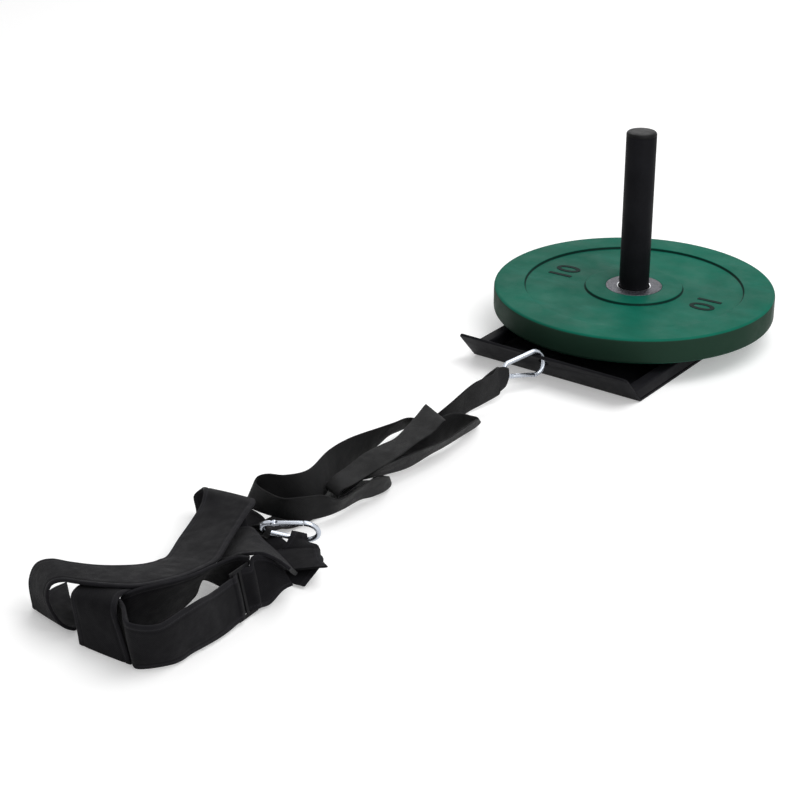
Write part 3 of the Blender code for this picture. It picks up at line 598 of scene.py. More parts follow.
def rubber():
    """Moulded green rubber: mottled bloom, pale streaks of painted sheen, painted shade on its side
    and painted shade along the ring's walls.
    """
    green = tuple(settings().plate.rubber)
    # The pale, greyer green is the colour of the painted sheen streaks
    pale = (green[0] * 2.4, green[1] * 1.5, green[2] * 1.65)
    # Painted shade: the colours for the shaded outer side and for the shade along the ring's walls
    painted_shade_side_green, painted_wall_shade_green = (0.015, 0.029, 0.019), (0.001, 0.010, 0.008)
    look = Finish("green_rubber_finish", 0.50, Specular_IOR_Level=0.04)
    bloom = look.ramp(look.noise(7.0, detail=5.0, rough=0.55), 0.33, 0.68)
    colour = look.mix(bloom, scaled(green, 0.80), scaled(green, 1.22))
    # Painted sheen: pale stretched streaks that stand in for light reflected off the rubber
    painted_sheen_smear = look.ramp(look.noise(9.0, detail=6.0, rough=0.65, stretch=(1.0, 3.2, 1.0)), 0.50, 0.72)
    colour = look.mix(look.times(painted_sheen_smear, 0.38), colour, pale)
    radius = look.radius()
    height = look.node("ShaderNodeSeparateXYZ", {0: look.place()}).outputs[2]
    top = PLATE_HIGH.z
    # Painted shade: the plate's outer side is coloured darker green where shade falls on it
    outside = look.ramp(radius, RIM - 0.0025, RIM - 0.0005)
    side = look.times(outside, look.ramp(height, top - 0.0018, top - 0.0033))
    colour = look.mix(look.times(side, 0.92), colour, painted_shade_side_green)
    # The ring's two walls get painted shade: dark lines of colour where shade falls in the
    # recesses, which fade in and out over this width
    fade = 0.0006
    below = look.ramp(height, top - 0.0002, top - 0.0008)
    for inner, outer in (
        (RING_OUTER - 0.0024, RING_OUTER + 0.0004),
        (RING_INNER - 0.0017, RING_INNER + 0.0010),
    ):
        # Painted shade: the mask below picks out each recess wall for the dark shade colour
        starts = look.ramp(radius, inner, inner + fade)
        ends = look.ramp(radius, outer, outer - fade)
        line = look.times(look.times(starts, ends), below)
        colour = look.mix(look.times(line, 0.9), colour, painted_wall_shade_green)
    specks = look.ramp(look.noise(300.0, detail=2.0), 0.66, 0.78)
    look.colour(look.mix(look.times(specks, 0.35), colour, scaled(green, 0.45)))
    polish = look.noise(22.0, detail=4.0, rough=0.6)
    look.roughness(look.ramp(polish, 0.3, 0.7, to_low=0.40, to_high=0.62))
    look.relief(look.noise(1300.0, detail=1.0), depth=0.00018, strength=0.35)
    look.relief(look.noise(48.0, detail=3.0), depth=0.0007, strength=0.22)
    return look.material


def number_rubber():
    """The sunk black rubber of the moulded numbers."""
    look = Finish("number_rubber_finish", 0.62, Specular_IOR_Level=0.06)
    look.colour(look.mix(look.noise(300.0), (0.001, 0.008, 0.007), (0.002, 0.015, 0.012)))
    look.relief(look.noise(1300.0, detail=1.0), depth=0.00015, strength=0.4)
    return look.material


def stitch_line(look, across, along, at, pitch):
    """A row of stitches: where its threads show, and where the row runs."""
    half = 0.0007
    near = look.math("ABSOLUTE", look.math("SUBTRACT", across, at))
    line = look.ramp(near, half, half * 0.4)
    phase = look.math("FRACT", look.math("DIVIDE", along, pitch))
    thread = look.ramp(look.math("ABSOLUTE", look.math("SUBTRACT", phase, 0.5)), 0.40, 0.30)
    return look.times(line, thread), line


def weave(look, along, across, warp, weft):
    """A plain weave's height, with its warp threads along the band, at these spacings."""
    ribs = look.math("SINE", look.times(across, math.pi / warp))
    picks = look.math("SINE", look.times(along, math.pi / weft))
    over = look.times(ribs, picks)
    return look.math("ADD", look.times(over, 0.35), look.times(look.math("ABSOLUTE", ribs), 0.5))


def strap_webbing():
    """Woven black webbing: ribs along the band, with worn patches and lighter streaks of painted
    sheen.
    """
    black = tuple(settings().webbing.strap)
    sheen = {"Specular_IOR_Level": 0.08, "Sheen_Weight": 0.03, "Sheen_Roughness": 0.4}
    look = Finish("black_webbing_finish", 0.62, **sheen)
    along, across = look.uv()
    pattern = weave(look, along, across, 0.0016, 0.0011)
    worn = look.ramp(look.noise(26.0, detail=4.0, rough=0.6), 0.35, 0.70)
    colour = look.mix(worn, scaled(black, 0.70), scaled(black, 1.25))
    # Painted sheen: broad lighter streaks along the band that stand in for the webbing's sheen
    painted_sheen_streak = look.ramp(look.noise(9.0, detail=3.0, rough=0.5, stretch=(1.0, 1.0, 0.4)), 0.46, 0.66)
    colour = look.mix(look.times(painted_sheen_streak, 0.75), colour, scaled(black, 2.5))
    look.colour(look.mix(look.ramp(pattern, 0.1, 0.8), scaled(black, 0.55), colour))
    look.roughness(look.ramp(look.noise(60.0, detail=3.0), 0.3, 0.7, to_low=0.52, to_high=0.72))
    look.relief(pattern, depth=0.0004, strength=0.8)
    look.relief(look.noise(30.0, detail=3.0), depth=0.003, strength=0.16)
    return look.material


def padded_webbing():
    """Thick soft black band: brushed cover, bound edges with a row of stitches inside each."""
    webbing = settings().webbing
    black = tuple(webbing.harness)
    stitch_in, stitch_pitch = 0.0022, 0.0042
    sheen = {"Specular_IOR_Level": 0.05, "Sheen_Weight": 0.03, "Sheen_Roughness": 0.5}
    look = Finish("black_padded_web_finish", 0.72, **sheen)
    along, across = look.uv()
    pattern = weave(look, along, across, 0.0013, 0.0013)
    cloth = look.ramp(look.noise(22.0, detail=5.0, rough=0.6), 0.35, 0.70)
    colour = look.mix(cloth, scaled(black, 0.65), scaled(black, 1.6))
    faded = look.ramp(look.noise(8.0, detail=3.0, rough=0.5), 0.48, 0.68)
    colour = look.mix(look.times(faded, 0.6), colour, scaled(black, 2.1))
    colour = look.mix(look.ramp(pattern, 0.1, 0.8), scaled(black, 0.6), colour)
    from_edge = look.node("ShaderNodeAttribute", attribute_name="edge_distance").outputs["Fac"]
    bound = look.ramp(from_edge, webbing.binding + 0.0003, webbing.binding - 0.0003)
    colour = look.mix(look.times(bound, 0.6), colour, scaled(black, 1.45))
    row_at = webbing.binding - stitch_in
    threads, line = stitch_line(look, from_edge, along, row_at, stitch_pitch)
    look.colour(look.mix(threads, colour, scaled(black, 2.0)))
    look.roughness(look.ramp(look.noise(70.0, detail=3.0), 0.3, 0.7, to_low=0.62, to_high=0.82))
    look.relief(pattern, depth=0.0003, strength=0.7)
    look.relief(look.math("SUBTRACT", threads, line), depth=0.0006, strength=0.8)
    look.relief(look.noise(36.0, detail=4.0), depth=0.003, strength=0.20)
    return look.material


def plain_floor():
    """The pale studio floor, which the camera sees as near white."""
    look = Finish("studio_floor", 0.9)
    look.colour((*settings().stage.floor, 1.0))
    path = look.node("ShaderNodeLightPath")
    seen = look.math("MAXIMUM", path.outputs["Is Camera Ray"], path.outputs["Is Glossy Ray"])
    seen = look.math("MAXIMUM", seen, path.outputs["Is Transmission Ray"])
    look.feed(look.shader.inputs["Emission Color"], (1.0, 1.0, 1.0, 1.0))
    glow = 0.30
    look.feed(look.shader.inputs["Emission Strength"], look.times(seen, glow))
    return look.material


def deselect():
    if bpy.context.object and bpy.context.object.mode != "OBJECT":
        bpy.ops.object.mode_set(mode="OBJECT")
    bpy.ops.object.select_all(action="DESELECT")


def pick(piece):
    deselect()
    piece.select_set(True)
    bpy.context.view_layer.objects.active = piece
    return piece


def apply_modifiers(piece):
    pick(piece)
    for modifier in list(piece.modifiers):
        bpy.ops.object.modifier_apply(modifier=modifier.name)
    return piece


def soften(piece, degrees=35.0):
    pick(piece)
    bpy.ops.object.shade_smooth_by_angle(angle=math.radians(degrees))
    return piece


def rounded_edges(piece, width, segments=3, degrees=30.0):
    change = piece.modifiers.new("Rounded edges", "BEVEL")
    change.width = width
    change.segments = segments
    change.limit_method = "ANGLE"
    change.angle_limit = math.radians(degrees)
    return apply_modifiers(piece)


def dressed(piece, name, body, slot, material, *nodes):
    """Names the finished piece, gives it its material, and says what it rides on and stands for."""
    pick(piece)
    bpy.ops.object.transform_apply(location=True, rotation=True, scale=True)
    piece.name = name
    piece.data.name = name
    piece.data.materials.clear()
    piece.data.materials.append(material)
    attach(piece, body)
    if nodes:
        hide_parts(*nodes)
    return piece


def turned(profile, sides=96, closed=True):
    """Rings extruded one from the next along a profile of (radius, height).

    The last ring is joined to the first, or else each of the two gets a face over it."""
    deselect()
    radius, height = profile[0]
    bpy.ops.mesh.primitive_circle_add(vertices=sides, radius=radius, location=(0, 0, height))
    piece = bpy.context.object
    bpy.ops.object.transform_apply(location=True)
    bpy.ops.object.mode_set(mode="EDIT")
    bpy.ops.mesh.select_mode(type="VERT")
    for (last, _), (radius, height) in zip(profile, profile[1:]):
        bpy.ops.mesh.extrude_region_move(TRANSFORM_OT_translate={"value": (0, 0, 0)})
        shape = bmesh.from_edit_mesh(piece.data)
        for point in shape.verts:
            if point.select:
                point.co = (point.co.x * radius / last, point.co.y * radius / last, height)
        bmesh.update_edit_mesh(piece.data)
    bpy.ops.mesh.select_all(action="DESELECT")
    bpy.ops.mesh.select_non_manifold()
    if closed:
        bpy.ops.mesh.bridge_edge_loops()
    else:
        bpy.ops.mesh.edge_face_add()
    bpy.ops.mesh.select_all(action="SELECT")
    bpy.ops.mesh.normals_make_consistent(inside=False)
    bpy.ops.object.mode_set(mode="OBJECT")
    return piece


def bar(start, end, radius, sides=32):
    """A round bar between two points."""
    deselect()
    start, end = Vector(start), Vector(end)
    turn = (end - start).to_track_quat("Z", "Y")
    bpy.ops.mesh.primitive_cylinder_add(
        vertices=sides,
        radius=radius,
        depth=(end - start).length,
        location=(start + end) / 2,
        rotation=turn.to_euler(),
    )
    piece = bpy.context.object
    bpy.ops.object.transform_apply(location=True, rotation=True)
    return piece


def block(low, high):
    deselect()
    size = [b - a for a, b in zip(low, high)]
    middle = [(a + b) / 2 for a, b in zip(low, high)]
    bpy.ops.mesh.primitive_cube_add(size=1.0, location=middle)
    piece = bpy.context.object
    piece.scale = size
    bpy.ops.object.transform_apply(location=True, scale=True)
    return piece


def bent_rod(points, radius):
    """A rod along points, with closed ends, as a mesh."""
    deselect()
    bpy.ops.curve.primitive_nurbs_path_add()
    piece = bpy.context.object
    data = piece.data
    data.splines.clear()
    spline = data.splines.new("POLY")
    spline.points.add(len(points) - 1)
    for point, co in zip(spline.points, points):
        point.co = (*co, 1.0)
    data.dimensions = "3D"
    data.bevel_depth = radius
    data.bevel_resolution = 6
    data.use_fill_caps = True
    bpy.ops.object.convert(target="MESH")
    return merged(bpy.context.object)


def merged(piece):
    """Joins the points that lie on each other, and turns all faces outwards."""
    bpy.ops.object.mode_set(mode="EDIT")
    bpy.ops.mesh.select_all(action="SELECT")
    bpy.ops.mesh.remove_doubles(threshold=0.00001)
    bpy.ops.mesh.normals_make_consistent(inside=False)
    bpy.ops.object.mode_set(mode="OBJECT")
    return piece


def carve(piece, tool, operation="DIFFERENCE"):
    change = piece.modifiers.new("Carve", "BOOLEAN")
    change.operation = operation
    change.solver = "EXACT"
    change.object = tool
    apply_modifiers(piece)
    bpy.data.objects.remove(tool, do_unlink=True)
    return piece


def joined(pieces):
    deselect()
    for piece in pieces:
        piece.select_set(True)
    bpy.context.view_layer.objects.active = pieces[0]
    bpy.ops.object.join()
    return bpy.context.object


def between(a, b, c, d, t):
    """The point at t between b and c on the smooth curve through a, b, c and d."""
    bend, twist = 2 * a - 5 * b + 4 * c - d, 3 * b - a - 3 * c + d
    return 0.5 * (2 * b + (c - a) * t + bend * t**2 + twist * t**3)


def smoothed(points, steps):
    ends = [2 * points[0] - points[1], *points, 2 * points[-1] - points[-2]]
    found = []
    for a, b, c, d in zip(ends, ends[1:], ends[2:], ends[3:]):
        found += [between(a, b, c, d, step / steps) for step in range(steps)]
    return [*found, points[-1]]


def eye(centre, axis, away, widths, first=1, above=0.5):
    """Stations of a band that comes in along -away, turns round a rod and goes back.

    above is the share of the width on the axis's own side, and first turns the eye over."""
    z = Vector(axis).normalized()
    x = Vector(away)
    x = (x - x.dot(z) * z).normalized()
    y = z.cross(x) * first
    stations = []
    for (along, aside), width in zip(EYE, widths):
        middle = Vector(centre) * 1000 + along * x + aside * y
        stations.append((middle + z * width * above, middle - z * width * (1 - above)))
    return stations


def layer(stations, lift):
    """The stations moved up off their own surface, in millimetres."""
    middles = [(Vector(a) + Vector(b)) / 2 for a, b in stations]
    moved = []
    for i, (a, b) in enumerate(stations):
        along = middles[min(i + 1, len(stations) - 1)] - middles[max(i - 1, 0)]
        up = along.cross(Vector(b) - Vector(a)).normalized()
        up = up if up.z > 0 else -up
        moved.append((Vector(a) + lift * up, Vector(b) + lift * up))
    return moved


def ribbon(
    name, stations, thick, steps=8, columns=10, roll=0.0008, crown=0.0, binding=0.0, ridge=0.0
):
    """A band through its stations, with rolled edges, a crowned middle and a raised binding.

    Its UV map holds metres along and across, and edge_distance the metres to the nearer edge.
    Returns it with its mean width and its length."""
    sides = [[Vector(station[side]) / 1000 for station in stations] for side in (0, 1)]
    left, right = (np.array([tuple(p) for p in smoothed(side, steps)]) for side in sides)
    across = right - left
    width = np.linalg.norm(across, axis=1)
    shares, heights = band_section(width.mean(), thick, columns, roll, crown, binding, ridge)
    count = len(shares)
    share = shares[None, :, None]
    left_run, right_run = np.gradient(left, axis=0), np.gradient(right, axis=0)
    grid = left[:, None] + across[:, None] * share
    tangent = left_run[:, None] * (1 - share) + right_run[:, None] * share
    out = np.cross(tangent, across[:, None])
    length = np.linalg.norm(out, axis=2, keepdims=True)
    out = out / np.where(length < 1e-12, 1.0, length)
    top = grid + out * heights[None, :, None]
    low = grid - out * heights[None, :, None]
    paces = np.linalg.norm(np.diff((left + right) / 2, axis=0), axis=1)
    travel = np.concatenate([[0.0], np.cumsum(paces)])
    shape = bmesh.new()
    uv_layer = shape.loops.layers.uv.new("UVMap")
    edge_layer = shape.verts.layers.float.new("edge_distance")
    sheets = []
    for points in (top, low):
        rows = []
        for i, row in enumerate(points):
            verts = []
            for j, co in enumerate(row):
                if points is low and j in (0, count - 1):
                    verts.append(sheets[0][i][j])
                    continue
                vert = shape.verts.new(co)
                vert[edge_layer] = min(shares[j], 1 - shares[j]) * width[i]
                verts.append(vert)
            rows.append(verts)
        sheets.append(rows)
    for sheet_index, rows in enumerate(sheets):
        for i in range(len(rows) - 1):
            for j in range(count - 1):
                corners = [(i, j), (i, j + 1), (i + 1, j + 1), (i + 1, j)]
                if sheet_index:
                    corners.reverse()
                face = shape.faces.new([rows[a][b] for a, b in corners])
                for loop, (a, b) in zip(face.loops, corners):
                    loop[uv_layer].uv = (travel[a], shares[b] * width[a])
    for i in (0, len(travel) - 1):
        loop = sheets[0][i] + sheets[1][i][-2:0:-1]
        shape.faces.new(loop if i else loop[::-1])
    bmesh.ops.recalc_face_normals(shape, faces=shape.faces)
    data = bpy.data.meshes.new(name)
    shape.to_mesh(data)
    shape.free()
    piece = bpy.data.objects.new(name, data)
    bpy.context.scene.collection.objects.link(piece)
    soften(piece, 60.0)
    return piece, (float(width.mean()), float(travel[-1]))


def band_section(width, thick, columns, roll, crown, binding, ridge):
    """Shares of the way across the band and its half heights there, from edge to edge."""
    half = thick / 2
    places, heights = [], []
    for step in range(4):
        angle = math.pi / 2 * step / 3
        places.append(roll * (1 - math.cos(angle)))
        heights.append(half * math.sin(angle) * (0.72 if binding else 0.9))
    if binding:
        places += [binding * 0.35, binding * 0.7, binding, binding + 0.0012]
        heights += [half * 0.86 + ridge, half * 0.9 + ridge, half * 0.72, half * 0.88]
    inner = places[-1] + 0.002
    for step in range(columns + 1):
        share = step / columns
        places.append(inner + (width - 2 * inner) * share / 2)
        heights.append(half + crown * math.sin(math.pi / 2 * share))
    mirror = [width - place for place in places[-2::-1]]
    return np.array(places + mirror) / width, np.array(heights + heights[-2::-1])


def slider_frame():
    """The slider's own frame: X along the strap, Y across it and Z out of its outer face."""
    top, bottom = (Vector(edge) / 1000 for edge in SLIDER_STATION)
    across = (top - bottom).normalized()
    along = Vector((0.0, 1.0, 0.0))
    along = (along - along.dot(across) * across).normalized()
    out = along.cross(across)
    matrix = Matrix((along, across, out)).transposed().to_4x4()
    return Matrix.Translation((top + bottom) / 2) @ matrix, (top - bottom).length


def woven():
    """Stations of the right shoulder strap through the slider."""
    turn = slider_frame()[0].to_3x3()
    along, out = turn @ Vector((1, 0, 0)), turn @ Vector((0, 0, 1))
    return [
        tuple(Vector(edge) + ahead * along + lift * out for edge in SLIDER_STATION)
        for ahead, lift in SLIDER_WEAVE
    ]


class Hook:
    """A snap hook's own frame: X along it from the big end, Y across it, Z out of its plane."""

    def __init__(self, at, along, across, gate_side):
        x = Vector(along).normalized()
        z = x.cross(Vector(across)).normalized()
        y = z.cross(x)
        self.matrix = Matrix.Translation(at) @ Matrix((x, y, z)).transposed().to_4x4()
        self.side = gate_side

    def half_width(self, s):
        t = (s - HOOK_BIG) / (HOOK_LENGTH - HOOK_SMALL - HOOK_BIG)
        return HOOK_BIG + (HOOK_SMALL - HOOK_BIG) * min(max(t, 0.0), 1.0)

    def world(self, s, w):
        return self.matrix @ Vector((s, w, 0.0))

    def small_end(self, degrees):
        """The rod's middle on the small end's bend, and the way that the rod runs there."""
        turn = math.radians(degrees)
        s = HOOK_LENGTH - HOOK_SMALL + HOOK_SMALL * math.cos(turn)
        w = HOOK_SMALL * math.sin(turn)
        along = self.matrix.to_3x3() @ Vector((-math.sin(turn), math.cos(turn), 0.0))
        return self.world(s, w), along

    def arm(self, s, side):
        """The rod's middle on the arm of one side, and the way that it runs to the small end."""
        ahead = s + 0.01
        start = self.world(s, side * self.half_width(s))
        return start, (self.world(ahead, side * self.half_width(ahead)) - start).normalized()

    def bend(self, middle, radius, start, steps):
        """Half a turn of the rod round one end, from the angle at which it starts."""
        angles = [start - math.pi * step / steps for step in range(steps + 1)]
        return [
            (middle + radius * math.cos(angle), self.side * radius * math.sin(angle), 0.0)
            for angle in angles
        ]

    def line(self):
        """The body's middle line: from the gate's pivot round the small end and on to the nose."""
        small_at = HOOK_LENGTH - HOOK_SMALL
        tongue = GATE_PIVOT - 0.0022
        points = [(tongue, self.side * self.half_width(tongue), 0.0)]
        points += self.bend(small_at, HOOK_SMALL, math.pi / 2, 24)
        for share in (0.25, 0.5, 0.75):
            s = small_at + (HOOK_BIG - small_at) * share
            points.append((s, -self.side * self.half_width(s), 0.0))
        points += self.bend(HOOK_BIG, HOOK_BIG, -math.pi / 2, 32)
        nose = GATE_START - GATE_CLEAR
        return [*points, (nose, self.side * self.half_width(nose), 0.0)]

    def gate_frame(self):
        pivot_w = self.side * self.half_width(GATE_PIVOT)
        start_w = self.side * self.half_width(GATE_START)
        run = Vector((GATE_START - GATE_PIVOT, start_w - pivot_w, 0.0))
        turn = Matrix.Rotation(math.atan2(run.y, run.x), 4, "Z")
        return self.matrix @ Matrix.Translation((GATE_PIVOT, pivot_w, 0.0)) @ turn, run.length


FRONT_HOOK = Hook(
    (-0.002, -0.2645, 0.0400), (-0.38, -0.925, 0.0), (-0.16, 0.13, 0.98), gate_side=-1
)
HARNESS_HOOK = Hook(
    (0.051, -0.883, 0.032), (-0.82, -0.55, 0.10), (0.34, -0.30, 0.89), gate_side=1
)
# Which way each eye's band runs from the rod that it goes round
FRONT_EYE_AWAY = (0.15, -0.98, 0.15)
HARNESS_EYE_AWAY = (-0.75, 0.45, -0.45)
PANEL_EYE_AWAY = (0.62, -0.75, -0.20)


def placed(piece, matrix):
    piece.data.transform(matrix)
    piece.data.update()
    return piece


def hook_pieces(prefix, hook, hook_body, gate_body, look):
    """The bent rod with its flattened tongue, the gate and the rivet."""
    gate_frame, reach = hook.gate_frame()
    to_hook = hook.matrix.inverted() @ gate_frame
    body = bent_rod(hook.line(), ROD)
    for out in (-1, 1):
        low, high = sorted((out * TONGUE / 2, out * CUT_REACH))
        cheek = block((-TONGUE_LENGTH, -CUT_HALF, low), (CUT_REACH, CUT_HALF, high))
        carve(body, placed(cheek, to_hook))
    gate = bar((0, 0, 0), (reach - GATE_CLEAR, 0, 0), ROD - 0.0002)
    barrel = bar((0, 0, -GATE_BARREL / 2), (0, 0, GATE_BARREL / 2), ROD - 0.0002)
    carve(gate, barrel, "UNION")
    slot = TONGUE / 2 + GAP
    carve(gate, block((-CUT_REACH, -CUT_HALF, -slot), (GATE_SLOT, CUT_HALF, slot)))
    rivet = bar((0, 0, GAP - ROD), (0, 0, ROD - GAP), PIN_RADIUS, 24)
    for piece, edge, segments, matrix, name, carrier, node in (
        (body, 0.0005, 2, hook.matrix, "_snap_hook", hook_body, "_hook_body"),
        (gate, 0.0004, 2, gate_frame, "_sprung_gate", gate_body, "_hook_gate"),
        (rivet, 0.0003, 3, gate_frame, "_gate_rivet", hook_body, "_hook_gate_pin"),
    ):
        soften(placed(rounded_edges(piece, edge, segments, 40.0), matrix), 40.0)
        dressed(piece, prefix + name, carrier, "zinc_plate", look, prefix + node)


def material(name, make):
    """The finish of that name, which is made the first time that it is asked for."""
    return bpy.data.materials.get(name) or make()


def paint_finish():
    return material("black_powder_coat_finish", powder_coat)


def plastic_finish():
    return material("black_plastic_finish", moulded_plastic)


def zinc_finish():
    return material("zinc_plate_finish", zinc)


class DRAGSLED_OT_tray(bpy.types.Operator):
    """Model the tray: the sheet with its bent lip and the hook's hole, the rails and plugs"""

    bl_idname = "drag_sled.tray"
    bl_label = "Tray and Rails"

    def execute(self, context):
        self.tray()
        for name, x in (("left_rail", -TRAY_HALF), ("right_rail", TRAY_HALF - RAIL)):
            self.side_rail(name, x)
            self.plug(name, x)
        self.rear_rail()
        return {"FINISHED"}

    def tray(self):
        lip = Vector((0.0, -LIP_RUN, LIP_RISE))
        half_turn = lip.angle(Vector((0.0, -1.0, 0.0))) / 2
        deselect()
        middle = (0.0, (TRAY_FRONT + TRAY_REAR) / 2, 0.0)
        bpy.ops.mesh.primitive_plane_add(size=1.0, location=middle)
        piece = bpy.context.object
        piece.scale = (2 * TRAY_HALF, TRAY_REAR - TRAY_FRONT, 1.0)
        bpy.ops.object.transform_apply(location=True, scale=True)
        bpy.ops.object.mode_set(mode="EDIT")
        bpy.ops.mesh.select_mode(type="EDGE")
        self.choose(piece, lambda co: co.y < TRAY_FRONT + NEAR)
        bpy.ops.mesh.extrude_region_move(TRANSFORM_OT_translate={"value": lip})
        self.choose(piece, lambda co: abs(co.y - TRAY_FRONT) < NEAR and co.z < NEAR)
        bend = BEND_RADIUS * math.tan(half_turn)
        bpy.ops.mesh.bevel(offset=bend, segments=10, affect="EDGES")
        bpy.ops.mesh.select_mode(type="VERT")
        self.choose(piece, lambda co: co.z > LIP_RISE - NEAR)
        bpy.ops.mesh.bevel(offset=LIP_CORNER, segments=6, affect="VERTICES")
        bpy.ops.mesh.select_all(action="SELECT")
        bpy.ops.mesh.normals_make_consistent(inside=False)
        bpy.ops.object.mode_set(mode="OBJECT")
        if sum(face.normal.z for face in piece.data.polygons) < 0:
            piece.data.flip_normals()
        wall = piece.modifiers.new("Thickness", "SOLIDIFY")
        wall.thickness = SHEET
        wall.offset = 1.0
        wall.use_even_offset = True
        apply_modifiers(piece)
        normal = Vector((0.0, LIP_RISE, LIP_RUN)).normalized()
        edge = Vector((0.0, TRAY_FRONT - LIP_RUN, LIP_RISE))
        hole_at = edge - HOOK_HOLE_FROM_EDGE * lip.normalized()
        through = 3 * SHEET * normal
        carve(piece, bar(hole_at - through, hole_at + through, HOOK_HOLE, 48))
        soften(rounded_edges(piece, 0.0007, 3, 50.0), 30.0)
        dressed(piece, "formed_tray", "sled", "black_powder_coat", paint_finish(), "tray_sheet")

    def choose(self, piece, test):
        shape = bmesh.from_edit_mesh(piece.data)
        bpy.ops.mesh.select_all(action="DESELECT")
        for point in shape.verts:
            point.select = test(point.co)
        shape.select_flush(True)
        bmesh.update_edit_mesh(piece.data)

    def tube(self, low, high, axis):
        """A square tube's shell with rounded long edges, open at both ends."""
        piece = block(low, high)
        bpy.ops.object.mode_set(mode="EDIT")
        bpy.ops.mesh.select_mode(type="FACE")
        shape = bmesh.from_edit_mesh(piece.data)
        for face in shape.faces:
            face.select = abs(face.normal[axis]) > 0.9
        bmesh.update_edit_mesh(piece.data)
        bpy.ops.mesh.delete(type="ONLY_FACE")
        bpy.ops.mesh.select_mode(type="EDGE")
        shape = bmesh.from_edit_mesh(piece.data)
        for edge in shape.edges:
            run = edge.verts[1].co - edge.verts[0].co
            edge.select = abs(run[axis]) > 0.9 * run.length
        bmesh.update_edit_mesh(piece.data)
        bpy.ops.mesh.bevel(offset=RAIL_CORNER, segments=5, affect="EDGES")
        return piece

    def walled(self, piece):
        bpy.ops.object.mode_set(mode="OBJECT")
        wall = piece.modifiers.new("Wall", "SOLIDIFY")
        wall.thickness = RAIL_WALL
        wall.offset = -1.0
        apply_modifiers(piece)
        return soften(rounded_edges(piece, 0.0003, 2, 50.0), 35.0)

    def side_rail(self, name, x):
        """A rail that is cut off along the lip, so that its end fits against it."""
        low = (x, TRAY_FRONT - LIP_RUN, RAIL_BASE)
        piece = self.tube(low, (x + RAIL, TRAY_REAR, RAIL_BASE + RAIL), 1)
        lip = Vector((0.0, -LIP_RUN, LIP_RISE)).normalized()
        normal = Vector((0.0, LIP_RISE, LIP_RUN)).normalized()
        middle = (lip + Vector((0.0, 1.0, 0.0))).normalized()
        bend = Vector((0.0, TRAY_FRONT, 0.0))
        corner = bend + (SHEET / normal.dot(middle) + RAIL_OFF_BEND) * middle
        face = bend + (SHEET + GAP) * normal
        for at, facing in ((face, -normal), (corner, -middle)):
            bpy.ops.mesh.select_all(action="SELECT")
            bpy.ops.mesh.bisect(plane_co=at, plane_no=facing, clear_outer=True)
        self.walled(piece)
        dressed(piece, name + "_tube", "sled", "black_powder_coat", paint_finish(), name)

    def rear_rail(self):
        half = TRAY_HALF - RAIL - GAP
        low, high = (-half, TRAY_REAR - RAIL, RAIL_BASE), (half, TRAY_REAR, RAIL_BASE + RAIL)
        piece = self.tube(low, high, 0)
        self.walled(piece)
        dressed(piece, "rear_rail_tube", "sled", "black_powder_coat", paint_finish(), "rear_rail")

    def plug(self, name, x):
        """A rail's end plug, which stands a little out of the tube."""
        inset = RAIL_WALL + GAP
        piece = block(
            (x + inset, TRAY_REAR - PLUG_DEPTH, RAIL_BASE + inset),
            (x + RAIL - inset, TRAY_REAR + PLUG_DOME, RAIL_BASE + RAIL - inset),
        )
        soften(rounded_edges(piece, 0.0009, 4, 50.0), 35.0)
        look = plastic_finish()
        dressed(piece, name + "_end_plug", "sled", "black_plastic", look, name + "_plug")


class DRAGSLED_OT_post(bpy.types.Operator):
    """Model the post, its cap and the collar under the plate, and finish the steel below them"""

    bl_idname = "drag_sled.post"
    bl_label = "Post and Cap"

    def execute(self, context):
        foot = COLLAR_LOW.z
        under = POST_HIGH - CAP_THICK
        bore = POST_RADIUS - POST_WALL
        tube = [
            (POST_RADIUS, under - GAP),
            (POST_RADIUS, foot),
            (bore, foot),
            (bore, under - GAP),
        ]
        piece = soften(rounded_edges(turned(tube), 0.0004, 2))
        paint, bright = paint_finish(), zinc_finish()
        dressed(piece, "weight_post", "sled", "black_powder_coat", paint, "post_tube")
        cap = [
            (bore - GAP, under - CAP_PLUG),
            (bore - GAP, under),
            (POST_RADIUS, under),
            (POST_RADIUS, under + 0.0018),
            (POST_RADIUS - 0.0006, POST_HIGH - 0.0026),
            (POST_RADIUS - 0.0018, POST_HIGH - 0.0014),
            (POST_RADIUS - 0.0040, POST_HIGH - 0.0007),
            (POST_RADIUS - 0.0090, POST_HIGH - 0.0002),
            (0.0060, POST_HIGH),
        ]
        piece = soften(turned(cap[::-1], closed=False), 45.0)
        dressed(piece, "post_end_cap", "sled", "black_plastic", plastic_finish(), "post_cap")
        low, high = COLLAR_LOW.z, COLLAR_HIGH.z
        collar = [
            (COLLAR_HIGH.x, high),
            (COLLAR_HIGH.x, low),
            (POST_RADIUS + GAP, low),
            (POST_RADIUS + GAP, high),
        ]
        piece = soften(rounded_edges(turned(collar), 0.0012, 3))
        dressed(piece, "stop_collar", "sled", "black_powder_coat", paint, "post_stop_collar")
        springs = ("front_hook_gate_spring", "harness_hook_gate_spring")
        for look, names in (
            (paint, ("cross_member", "post_foot")),
            (bright, ("left_foot_screw", "right_foot_screw", *springs)),
        ):
            for name in names:
                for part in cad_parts[name].material_slots:
                    part.material = look
        return {"FINISHED"}


